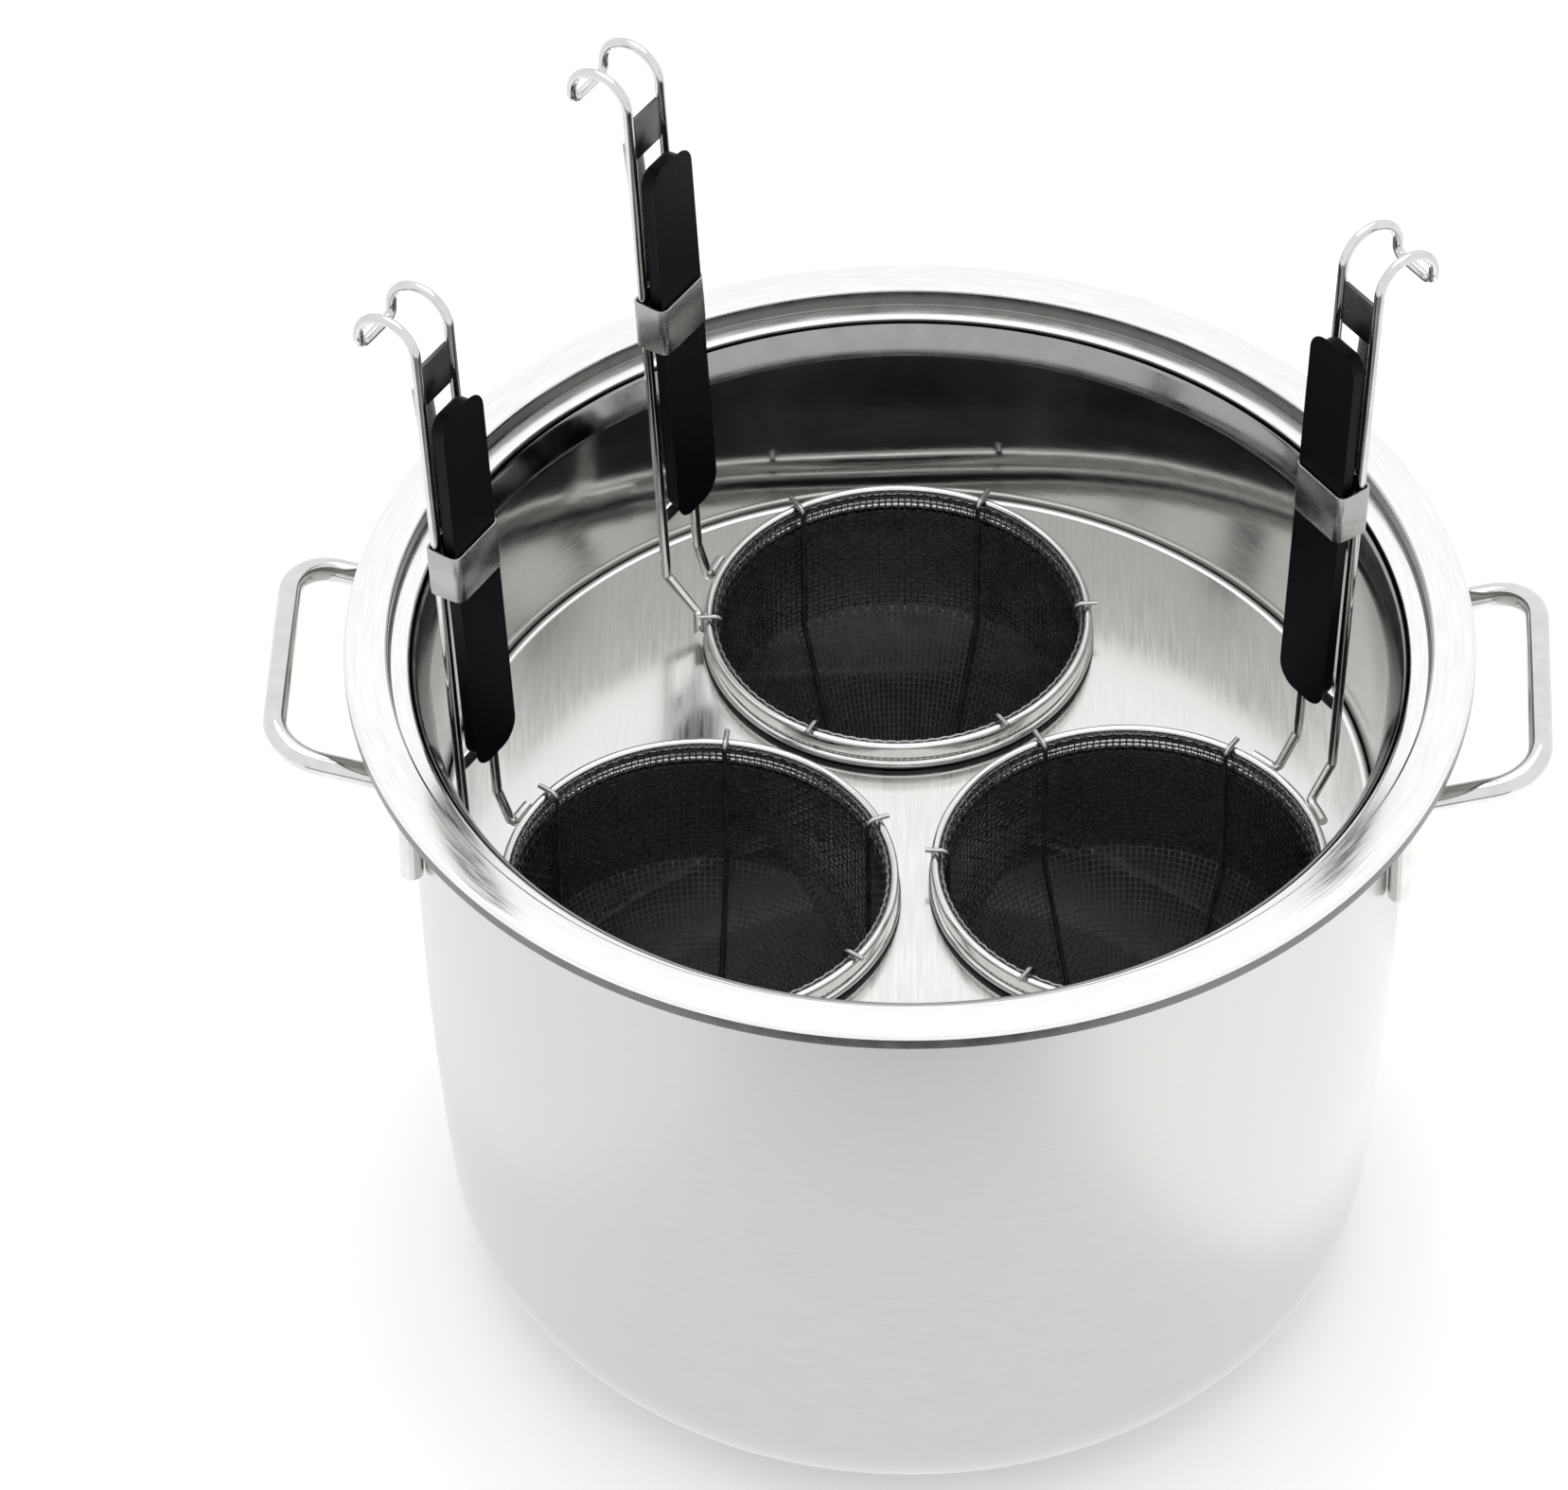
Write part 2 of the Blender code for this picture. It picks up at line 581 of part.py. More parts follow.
def handle_meshes():
    """The pieces on the legs: mesh, and place of its middle in the handle's frame."""
    lower = GRIP_RISE - LOWER_TIE_DROP - LOWER_TIE_HEIGHT / 2
    upper = GRIP_TOP + UPPER_TIE_RISE + UPPER_TIE_HEIGHT / 2
    return {
        "lower_tie": (tie_mesh("lower_tie", LOWER_TIE_HEIGHT), (0, 0, lower)),
        "upper_tie": (tie_mesh("upper_tie", UPPER_TIE_HEIGHT), (0, 0, upper)),
        "grip": (grip_mesh(), (-GRIP_SETBACK, 0, GRIP_RISE + GRIP_LENGTH / 2)),
        "grip_clip": (clip_mesh(), (0, 0, CLIP_BASE + CLIP_HEIGHT / 2)),
    }


def make_baskets():
    bowls = basket_meshes()
    rib = rod("rib", rib_points(), RIB_WIRE, 2, SATIN)
    fittings = handle_meshes()
    for tag, angles in BASKETS.items():
        basket = place(f"basket_{tag}_frame", None, location=basket_place(tag))
        start = math.radians(angles["rib"])
        for kind, mesh in bowls.items():
            place(f"basket_{tag}_{kind}", mesh, parent=basket, rotation=(0, 0, start))
        for index in range(RIB_COUNT):
            turn = start + FULL_TURN * index / RIB_COUNT
            place(f"basket_{tag}_rib_{index + 1}", rib, parent=basket, rotation=(0, 0, turn))
        make_handle_wire(tag, basket)
        handle = place(f"basket_{tag}_handle_frame", None, parent=basket)
        handle.matrix_local = handle_frame(tag)
        for kind, (mesh, middle) in fittings.items():
            place(f"basket_{tag}_{kind}", mesh, parent=handle, location=middle)


clear_scene()
PARTS = collection("pasta_pot")
CUTTERS = collection("cutters")
make_pot()
make_side_handles()
make_plate()
make_brackets()
make_baskets()
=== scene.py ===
"""Studio view of a steel pasta pot with a divider plate and three lift-out sieve baskets.

Metres, +Z up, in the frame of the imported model. The side handles lie along X.
"""
import math

import bmesh
import bpy
from mathutils import Matrix, Vector


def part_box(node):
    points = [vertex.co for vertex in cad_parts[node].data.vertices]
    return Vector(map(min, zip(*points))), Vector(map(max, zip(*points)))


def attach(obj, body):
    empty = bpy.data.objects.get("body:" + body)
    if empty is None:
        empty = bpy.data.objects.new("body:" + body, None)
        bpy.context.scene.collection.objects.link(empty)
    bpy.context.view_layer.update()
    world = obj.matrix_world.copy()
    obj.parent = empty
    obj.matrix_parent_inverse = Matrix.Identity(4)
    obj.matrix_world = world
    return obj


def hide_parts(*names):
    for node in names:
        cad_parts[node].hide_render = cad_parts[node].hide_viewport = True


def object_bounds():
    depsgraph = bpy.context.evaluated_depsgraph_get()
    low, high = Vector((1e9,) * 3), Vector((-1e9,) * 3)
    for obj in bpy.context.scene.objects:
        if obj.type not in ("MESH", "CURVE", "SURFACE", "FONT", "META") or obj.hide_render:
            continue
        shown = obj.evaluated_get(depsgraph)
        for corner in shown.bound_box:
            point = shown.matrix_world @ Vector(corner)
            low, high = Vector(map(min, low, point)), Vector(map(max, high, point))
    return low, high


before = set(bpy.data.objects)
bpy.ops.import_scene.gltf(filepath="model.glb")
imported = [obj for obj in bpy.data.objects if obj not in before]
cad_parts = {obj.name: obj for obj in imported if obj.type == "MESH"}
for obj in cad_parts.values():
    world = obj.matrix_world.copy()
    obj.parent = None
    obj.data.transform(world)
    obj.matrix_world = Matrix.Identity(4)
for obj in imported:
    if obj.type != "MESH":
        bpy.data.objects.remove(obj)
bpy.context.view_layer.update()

MM = 0.001
FULL_TURN = 2 * math.pi
QUARTER = math.pi / 2

# Camera: the photograph's place and long lens
CAMERA_PLACE = Vector((0, -1.8984, 2.0025))
CAMERA_PITCH = math.radians(43.8)
CAMERA_TURN = math.radians(0.78)     # to the left, so that the pot stands right of the middle
LENS_MM = 211.15
SENSOR_MM = 36.0

# Studio floor
FLOOR_SIZE = 12.0
FLOOR_DROP = 0.2 * MM         # just under the pot's base

# Cards that lie on the floor and glow for reflections only, as painted reflections, light or dark: middle,
# size, height and glow
CARDS = {
    "floor_card": ((0, 0), (3.0, 3.0), 0.4 * MM, 1.16),
    "right_card": ((0.27, -0.16), (0.22, 0.50), 1.0 * MM, 1.50),
    "left_card": ((-0.33, -0.12), (0.28, 0.50), 1.0 * MM, 1.34),
    "front_flag": ((0, -0.50), (0.8, 0.26), 2.0 * MM, 0.25),
}

# Heights of the frame
SEAT_GAP = 0.3 * MM
POT_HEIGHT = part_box("pot_body")[1].z
PLATE_THICKNESS = 1.2 * MM
BEAD_PROUD = 0.4 * MM
PLATE_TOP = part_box("divider_plate")[1].z - BEAD_PROUD

# Pot
POT_SHEET = 1.1 * MM
POT_FLOOR = 4.0 * MM
POT_FLOOR_FLAT = 60 * MM      # radius up to which the floor is plain flat
POT_FLOOR_DULL = 12 * MM      # the dull floor reaches this far up the wall
POT_STRAIGHT = 66 * MM
POT_BELLY_RADIUS = 1370 * MM
POT_CORNER_RADIUS = 36 * MM
SEAT_DEPTH = 5.5 * MM
SEAT_WIDTH = 6.5 * MM
SEAT_ROUND = 1.3 * MM
FLARE = 0.5 * MM              # the wall's top is this much wider inside, below the seat
FLARE_DEPTH = 10 * MM
FLARE_TOP = 8 * MM
FLANGE_WIDTH = 12.5 * MM
LIP_DROP = 4.5 * MM
LIP_ROUND = 1.6 * MM
LIP_SEGMENTS = 8
EDGE_ROUND = 0.8 * MM
RIM_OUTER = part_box("pot_body")[1].x
BORE = RIM_OUTER - FLANGE_WIDTH - SEAT_WIDTH
WALL_OUTER = BORE + POT_SHEET
POT_STEPS = 240
POT_SKINS = ("mirror", "flange", "satin", "base", "step")

# Divider plate
PLATE_BEAD = 3.2 * MM
PLATE_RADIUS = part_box("divider_plate")[1].x
HOLE_RADIUS = 55 * MM
PLATE_STEPS = 192
HOLE_STEPS = 128
HOLE_CUT = 10 * MM            # height of the cutter, well past the sheet
TRAY_SHEET = 0.8 * MM
TRAY_SPREAD = 2.2 * MM        # how much wider the tray's wall is below its shoulder than at the plate
TRAY_SHOULDER = 8.5 * MM      # depth of the flared shoulder
TRAY_CLEARANCE = 0.3 * MM     # from the shoulder's edge to the pot's wall
TRAY_EDGE_DROP = 1.6 * MM     # from the lid seat down to the tray's edge
TRAY_TIP = 0.3 * MM           # how far the edge is rounded up
TRAY_STEPS = 10

# Side handles
ROD = 7 * MM
ROD_REACH = 36.2 * MM
ROD_WIDTH = 80 * MM
ROD_DROP = 14 * MM
ROD_RISE = 11 * MM
ROD_FOOT = 35 * MM
ROD_CORNER = 14 * MM
ROD_FOOT_BEND = 9 * MM
ROD_TURN = math.radians(-1.8)

# Sieve baskets
CUP_RADIUS = 54 * MM
CUP_THICKNESS = 1.0 * MM
CUP_STRAIGHT = 36.5 * MM
CUP_DEPTH = 125.5 * MM
CUP_BALL = 26.1 * MM
BAND_TOP = 9.2 * MM
BAND_HEIGHT = 5 * MM
BAND_THICKNESS = 2.4 * MM
BAND_ROUND = 1.15 * MM
STOP_WIRE = 3 * MM
RIB_WIRE = 1.6 * MM
RIB_BEND = 2 * MM
RIB_OVERHANG = 1.6 * MM
RIB_COUNT = 6
BASE_RING_RADIUS = 14 * MM
BASE_RING_WIRE = 2 * MM
BAND_INNER = CUP_RADIUS + SEAT_GAP
BAND_OUTER = BAND_INNER + BAND_THICKNESS
RIB_TIP = BAND_OUTER + RIB_OVERHANG
BALL_MIDDLE = CUP_BALL - CUP_DEPTH
TAPER_DEPTH = BALL_MIDDLE + CUP_STRAIGHT
CUP_TAPER = math.atan2(CUP_RADIUS, -TAPER_DEPTH) - math.asin(CUP_BALL / math.hypot(CUP_RADIUS, TAPER_DEPTH))
RING_STEPS = 120

# Woven wire of the cups
MESH_WIRE = 0.48 * MM
MESH_PITCH = 1.9 * MM         # coarser than real cloth of about 1 mm, so that it shows
MESH_UPRIGHTS = 176
MESH_SIDES = 3
MESH_THINNING = (30 * MM, 15 * MM, 7.5 * MM)
MESH_END = 1.8 * MM

# Basket handles
LEG_WIRE = 3 * MM
LEG_SPACING = 16 * MM
LEG_OFFSET = 6.2 * MM
LEG_LEAN = math.radians(3.2)
LEG_START = 11 * MM
LEG_BEND = 4 * MM
FOOT_LENGTH = 9 * MM
GRIP_RISE = 37.3 * MM
GRIP_LENGTH = 124.5 * MM
GRIP_WIDTH = 16 * MM
GRIP_DEPTH = 6 * MM
GRIP_CORNER = 5 * MM
GRIP_ROUND = 1.8 * MM
TIE_THICKNESS = 1.2 * MM
LOWER_TIE_DROP = 2 * MM
LOWER_TIE_HEIGHT = 5 * MM
UPPER_TIE_RISE = 3 * MM
UPPER_TIE_HEIGHT = 14 * MM
HOOK_RISE = 4.4 * MM
HOOK_RADIUS = 9.5 * MM
HOOK_DROP = 3.5 * MM
HOOK_CORNER = 3 * MM
CLIP_SHEET = 0.8 * MM
CLIP_HEIGHT = 16 * MM
CLIP_RISE = 62 * MM
CLIP_BEND = 1.6 * MM          # inside its corners
STRIP_ROUND = 0.2 * MM
TONGUE_WIDTH = 8 * MM
TONGUE_THICKNESS = 1 * MM
TONGUE_LENGTH = 51 * MM
TONGUE_GAP = 3.5 * MM
TONGUE_START = 1 * MM         # above the collar's lower edge
TONGUE_STEPS = 16
FOOT_RADIUS = BAND_OUTER + SEAT_GAP + LEG_WIRE / 2
FOOT_HEIGHT = BAND_TOP - BAND_HEIGHT / 2
TIE_WIDTH = LEG_SPACING - LEG_WIRE - 2 * SEAT_GAP
GRIP_SETBACK = (LEG_WIRE + GRIP_DEPTH) / 2 + SEAT_GAP
GRIP_TOP = GRIP_RISE + GRIP_LENGTH
HOOK_START = GRIP_TOP + UPPER_TIE_RISE + UPPER_TIE_HEIGHT + HOOK_RISE
CLIP_MIDDLE = GRIP_RISE + CLIP_RISE + CLIP_HEIGHT / 2
HANDLE_TURNS = {"back": (170, 147), "left": (165, 148), "right": (35, 36)}
RIB_TURNS = {"back": 3, "left": 23, "right": -3}

# How fast the tray's shoulder and the clip's tongue bend outward: 1 would be straight
FLARE_POWER = 1.3

# Smoothness of the meshes
ARC_SEGMENTS = 10
WIRE_SIDES = 16
SHARP = math.radians(32)


def linear(hex_colour):
    """Linear RGBA of an sRGB hex colour."""
    channels = [int(hex_colour[index:index + 2], 16) / 255 for index in (1, 3, 5)]
    values = [c / 12.92 if c <= 0.04045 else ((c + 0.055) / 1.055) ** 2.4 for c in channels]
    return (*values, 1)


def add_node(tree, kind, settings=None, links=None):
    """A node with its settings, its inputs linked or set by name or index."""
    node = tree.nodes.new(kind)
    for key, value in (settings or {}).items():
        setattr(node, key, value)
    for key, value in (links or {}).items():
        if isinstance(value, bpy.types.NodeSocket):
            tree.links.new(value, node.inputs[key])
        else:
            node.inputs[key].default_value = value
    return node


def new_material(name, sockets):
    """A material with a Principled BSDF whose constant values are set on its own sockets."""
    made = bpy.data.materials.new(name)
    made.use_nodes = True
    shader = made.node_tree.nodes["Principled BSDF"]
    for key, value in sockets.items():
        shader.inputs[key].default_value = value
    return made, made.node_tree, shader


def ring_brushing(tree, line_spacing, reach):
    """Grey noise of fine lines that run round Z: fine along height and radius, long round the turn.

    Real grinding lines lie about 0.1 mm apart. These are drawn coarser, so that they show.
    """
    place = add_node(tree, "ShaderNodeTexCoord").outputs["Object"]
    apart = add_node(tree, "ShaderNodeSeparateXYZ", links={0: place})
    square_x = add_node(tree, "ShaderNodeMath", {"operation": "MULTIPLY"},
                        {0: apart.outputs["X"], 1: apart.outputs["X"]})
    square_y = add_node(tree, "ShaderNodeMath", {"operation": "MULTIPLY"},
                        {0: apart.outputs["Y"], 1: apart.outputs["Y"]})
    square = add_node(tree, "ShaderNodeMath", {"operation": "ADD"},
                      {0: square_x.outputs[0], 1: square_y.outputs[0]})
    radius = add_node(tree, "ShaderNodeMath", {"operation": "SQRT"}, {0: square.outputs[0]})
    angle = add_node(tree, "ShaderNodeMath", {"operation": "ARCTAN2"},
                     {0: apart.outputs["Y"], 1: apart.outputs["X"]})
    slow = add_node(tree, "ShaderNodeMath", {"operation": "MULTIPLY"},
                    {0: angle.outputs[0], 1: line_spacing * reach})
    lines = add_node(tree, "ShaderNodeCombineXYZ",
                     links={0: radius.outputs[0], 1: slow.outputs[0], 2: apart.outputs["Z"]})
    noise = add_node(tree, "ShaderNodeTexNoise", {"noise_dimensions": "3D"},
                     {"Vector": lines.outputs[0], "Scale": 1 / line_spacing, "Detail": 2.0})
    return noise.outputs["Fac"]


def varied(tree, factor, low, high):
    """The factor spread between two values."""
    spread = add_node(tree, "ShaderNodeMapRange", links={"Value": factor, "To Min": low, "To Max": high})
    spread.inputs["From Min"].default_value = 0.3
    spread.inputs["From Max"].default_value = 0.7
    return spread.outputs["Result"]


def satin_steel():
    """Stainless steel with a satin finish turned round the pot: pale grey, with soft reflected bands."""
    made, tree, shader = new_material("satin_stainless_steel", {"Metallic": 1.0, "Anisotropic": 0.5})
    lines = ring_brushing(tree, 0.6 * MM, 12)
    tone = add_node(tree, "ShaderNodeMix", {"data_type": "RGBA"},
                    {0: lines, 6: linear("#BABAB8"), 7: linear("#C6C6C4")})
    tree.links.new(tone.outputs[2], shader.inputs["Base Color"])
    tree.links.new(varied(tree, lines, 0.30, 0.38), shader.inputs["Roughness"])
    tangent = add_node(tree, "ShaderNodeTangent", {"direction_type": "RADIAL", "axis": "Z"})
    tree.links.new(tangent.outputs[0], shader.inputs["Tangent"])
    bump = add_node(tree, "ShaderNodeBump", links={"Height": lines, "Distance": 0.01 * MM, "Strength": 0.3})
    tree.links.new(bump.outputs[0], shader.inputs["Normal"])
    return made


def mirror_steel():
    """Stainless steel polished bright inside the pot: clear dark and light reflections."""
    made, tree, shader = new_material("mirror_polished_steel", {"Metallic": 1.0})
    lines = ring_brushing(tree, 0.8 * MM, 15)
    place = add_node(tree, "ShaderNodeTexCoord").outputs["Object"]
    waves = add_node(tree, "ShaderNodeTexNoise",
                     links={"Vector": place, "Scale": 1 / (28 * MM), "Detail": 1.0})
    tone = add_node(tree, "ShaderNodeMix", {"data_type": "RGBA"},
                    {0: lines, 6: linear("#B0B0AE"), 7: linear("#BCBCBA")})
    tree.links.new(tone.outputs[2], shader.inputs["Base Color"])
    tree.links.new(varied(tree, lines, 0.09, 0.15), shader.inputs["Roughness"])
    bump = add_node(tree, "ShaderNodeBump",
                    links={"Height": waves.outputs["Fac"], "Distance": 0.8 * MM, "Strength": 0.25})
    tree.links.new(bump.outputs[0], shader.inputs["Normal"])
    return made


def base_steel():
    """The pot's floor, left as drawn: dull grey steel with fine straight grinding lines."""
    made, tree, shader = new_material("dull_drawn_steel", {"Metallic": 1.0})
    place = add_node(tree, "ShaderNodeTexCoord").outputs["Object"]
    drawn = add_node(tree, "ShaderNodeMapping", links={"Vector": place, "Scale": (1.0, 0.05, 1.0)})
    streaks = add_node(tree, "ShaderNodeTexNoise",
                       links={"Vector": drawn.outputs[0], "Scale": 1 / (0.9 * MM), "Detail": 2.0})
    tone = add_node(tree, "ShaderNodeMix", {"data_type": "RGBA"},
                    {0: streaks.outputs["Fac"], 6: linear("#5E5E5C"), 7: linear("#7A7A78")})
    tree.links.new(tone.outputs[2], shader.inputs["Base Color"])
    tree.links.new(varied(tree, streaks.outputs["Fac"], 0.42, 0.55), shader.inputs["Roughness"])
    return made


def flange_steel():
    """The pot's flat flange, ground and polished: nearly white, with faint grinding lines along it."""
    made, tree, shader = new_material("ground_flange_steel", {"Metallic": 1.0})
    lines = ring_brushing(tree, 0.7 * MM, 10)
    tone = add_node(tree, "ShaderNodeMix", {"data_type": "RGBA"},
                    {0: lines, 6: linear("#E0E0DE"), 7: linear("#F0F0EE")})
    tree.links.new(tone.outputs[2], shader.inputs["Base Color"])
    tree.links.new(varied(tree, lines, 0.14, 0.26), shader.inputs["Roughness"])
    bump = add_node(tree, "ShaderNodeBump", links={"Height": lines, "Distance": 0.01 * MM, "Strength": 0.4})
    tree.links.new(bump.outputs[0], shader.inputs["Normal"])
    return made


def plate_steel():
    """Bright rolled sheet of the divider plate: soft streaks of rolling and blurred reflections."""
    made, tree, shader = new_material("bright_rolled_steel_sheet", {"Metallic": 1.0})
    place = add_node(tree, "ShaderNodeTexCoord").outputs["Object"]
    drawn = add_node(tree, "ShaderNodeMapping", links={"Vector": place, "Scale": (1.0, 0.06, 1.0)})
    streaks = add_node(tree, "ShaderNodeTexNoise",
                       links={"Vector": drawn.outputs[0], "Scale": 1 / (1.1 * MM), "Detail": 2.0})
    clouds = add_node(tree, "ShaderNodeTexNoise",
                      links={"Vector": place, "Scale": 1 / (45 * MM), "Detail": 1.0})
    tone = add_node(tree, "ShaderNodeMix", {"data_type": "RGBA"},
                    {0: streaks.outputs["Fac"], 6: linear("#D4D4D2"), 7: linear("#E6E6E4")})
    tree.links.new(tone.outputs[2], shader.inputs["Base Color"])
    tree.links.new(varied(tree, streaks.outputs["Fac"], 0.14, 0.22), shader.inputs["Roughness"])
    bump = add_node(tree, "ShaderNodeBump",
                    links={"Height": clouds.outputs["Fac"], "Distance": 1.0 * MM, "Strength": 0.3})
    tree.links.new(bump.outputs[0], shader.inputs["Normal"])
    return made


def drawn_wire(name, pale, dark, smooth, rough):
    """Plain stainless steel, drawn, turned or sheared, and darker copies of it that are painted shade: its
    polish is slightly uneven along the piece.
    """
    made, tree, shader = new_material(name, {"Metallic": 1.0})
    place = add_node(tree, "ShaderNodeTexCoord").outputs["Object"]
    patches = add_node(tree, "ShaderNodeTexNoise",
                       links={"Vector": place, "Scale": 1 / (6 * MM), "Detail": 2.0})
    tone = add_node(tree, "ShaderNodeMix", {"data_type": "RGBA"},
                    {0: patches.outputs["Fac"], 6: linear(dark), 7: linear(pale)})
    tree.links.new(tone.outputs[2], shader.inputs["Base Color"])
    tree.links.new(varied(tree, patches.outputs["Fac"], smooth, rough), shader.inputs["Roughness"])
    return made


def clip_steel():
    """Spring steel strip of the clips, brushed round the grip: mid grey with a soft sheen."""
    made, tree, shader = new_material("brushed_spring_steel", {"Metallic": 1.0})
    place = add_node(tree, "ShaderNodeTexCoord").outputs["Object"]
    drawn = add_node(tree, "ShaderNodeMapping", links={"Vector": place, "Scale": (0.08, 0.08, 1.0)})
    streaks = add_node(tree, "ShaderNodeTexNoise",
                       links={"Vector": drawn.outputs[0], "Scale": 1 / (0.35 * MM), "Detail": 2.0})
    tone = add_node(tree, "ShaderNodeMix", {"data_type": "RGBA"},
                    {0: streaks.outputs["Fac"], 6: linear("#A0A09E"), 7: linear("#B0B0AE")})
    tree.links.new(tone.outputs[2], shader.inputs["Base Color"])
    tree.links.new(varied(tree, streaks.outputs["Fac"], 0.20, 0.32), shader.inputs["Roughness"])
    return made


def grip_plastic():
    """Moulded black polypropylene: matt, with a spark-eroded grain and a dull sheen on its edges.

    Real grain of this kind is about 0.1 mm wide. It is drawn coarser, so that it shows.
    """
    made, tree, shader = new_material("moulded_black_polypropylene",
                                      {"Base Color": linear("#050505"), "IOR": 1.49,
                                       "Specular IOR Level": 0.08})
    place = add_node(tree, "ShaderNodeTexCoord").outputs["Object"]
    grain = add_node(tree, "ShaderNodeTexNoise",
                     links={"Vector": place, "Scale": 1 / (0.45 * MM), "Detail": 3.0})
    tree.links.new(varied(tree, grain.outputs["Fac"], 0.38, 0.52), shader.inputs["Roughness"])
    bump = add_node(tree, "ShaderNodeBump",
                    links={"Height": grain.outputs["Fac"], "Distance": 0.05 * MM, "Strength": 0.5})
    tree.links.new(bump.outputs[0], shader.inputs["Normal"])
    return made


def studio_floor():
    """Seamless white studio paper: matt, with a hardly visible mottle."""
    made, tree, shader = new_material("white_studio_paper", {"Roughness": 0.9})
    place = add_node(tree, "ShaderNodeTexCoord").outputs["Object"]
    mottle = add_node(tree, "ShaderNodeTexNoise",
                      links={"Vector": place, "Scale": 1 / (60 * MM), "Detail": 2.0})
    tone = add_node(tree, "ShaderNodeMix", {"data_type": "RGBA"},
                    {0: mottle.outputs["Fac"], 6: linear("#F6F6F6"), 7: linear("#F9F9F9")})
    tree.links.new(tone.outputs[2], shader.inputs["Base Color"])
    return made


def arc(centre, radius, start, end, segments=ARC_SEGMENTS):
    """Points (radius, height) of an arc; both ends are among them."""
    angles = [start + (end - start) * step / segments for step in range(segments + 1)]
    return [(centre[0] + radius * math.cos(a), centre[1] + radius * math.sin(a)) for a in angles]


def mesh_from(work, name, materials):
    """A mesh from bmesh work, smooth apart from its sharp edges."""
    bmesh.ops.recalc_face_normals(work, faces=work.faces)
    mesh = bpy.data.meshes.new(name)
    work.to_mesh(mesh)
    work.free()
    for one in materials:
        mesh.materials.append(one)
    mesh.shade_smooth()
    mesh.set_sharp_from_angle(angle=SHARP)
    return mesh


def turned(name, profile, steps, materials, zones=None, closed=False):
    """A mesh turned about Z from a profile; zones give each stretch its material."""
    work = bmesh.new()
    rows = []
    for radius, height in profile:
        if radius < 0.01 * MM:
            rows.append([work.verts.new((0, 0, height))] * steps)
            continue
        turns = [FULL_TURN * step / steps for step in range(steps)]
        rows.append([work.verts.new((radius * math.cos(t), radius * math.sin(t), height)) for t in turns])
    pairs = list(zip(rows, rows[1:]))
    if closed:
        pairs.append((rows[-1], rows[0]))
    for index, (first, second) in enumerate(pairs):
        for step in range(steps):
            after = (step + 1) % steps
            corners = dict.fromkeys((first[step], second[step], second[after], first[after]))
            face = work.faces.new(list(corners))
            face.material_index = zones[index] if zones else 0
    return mesh_from(work, name, materials)


def bent_path(corners, bends, segments=ARC_SEGMENTS):
    """Points of a bent rod: straight between its corners, with an arc at each inner one."""
    corners = [Vector(corner) for corner in corners]
    points = [corners[0]]
    for index, bend in enumerate(bends, start=1):
        corner = corners[index]
        arriving = (corner - corners[index - 1]).normalized()
        leaving = (corners[index + 1] - corner).normalized()
        turn = arriving.angle(leaving)
        if turn < math.radians(2):
            points.append(corner)
            continue
        middle = corner + (leaving - arriving).normalized() * bend / math.cos(turn / 2)
        spoke = corner - arriving * bend * math.tan(turn / 2) - middle
        axis = arriving.cross(leaving).normalized()
        for step in range(segments + 1):
            points.append(middle + Matrix.Rotation(turn * step / segments, 3, axis) @ spoke)
    points.append(corners[-1])
    return points


def rod_mesh(name, points, diameter, material):
    """A round rod or wire along points, with flat capped ends."""
    curve = bpy.data.curves.new(name, "CURVE")
    curve.dimensions = "3D"
    curve.bevel_depth = diameter / 2
    curve.bevel_resolution = WIRE_SIDES // 4 + 1
    curve.use_fill_caps = True
    spline = curve.splines.new("POLY")
    spline.points.add(len(points) - 1)
    for target, point in zip(spline.points, points):
        target.co = (*point, 1)
    holder = bpy.data.objects.new(name, curve)
    bpy.context.scene.collection.objects.link(holder)
    bpy.context.view_layer.update()
    graph = bpy.context.evaluated_depsgraph_get()
    raw = bpy.data.meshes.new_from_object(holder.evaluated_get(graph))
    bpy.data.objects.remove(holder)
    bpy.data.curves.remove(curve)
    work = bmesh.new()
    work.from_mesh(raw)
    bpy.data.meshes.remove(raw)
    bmesh.ops.remove_doubles(work, verts=work.verts, dist=0.001 * MM)
    return mesh_from(work, name, [material])


def bar_mesh(name, size, rounding, material, segments=3):
    """A bar with rounded edges round its own middle."""
    work = bmesh.new()
    bmesh.ops.create_cube(work, size=1)
    bmesh.ops.scale(work, vec=size, verts=work.verts)
    bmesh.ops.bevel(work, geom=work.edges[:], offset=rounding, offset_type="OFFSET",
                    segments=segments, profile=0.5, affect="EDGES")
    return mesh_from(work, name, [material])


def piece(name, mesh, body, nodes, matrix=Matrix.Identity(4)):
    """Puts a piece in place on its body, and hides the CAD nodes it stands for."""
    made = bpy.data.objects.new(name, mesh)
    bpy.context.scene.collection.objects.link(made)
    made.matrix_world = matrix
    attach(made, body)
    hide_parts(*nodes)
    return made


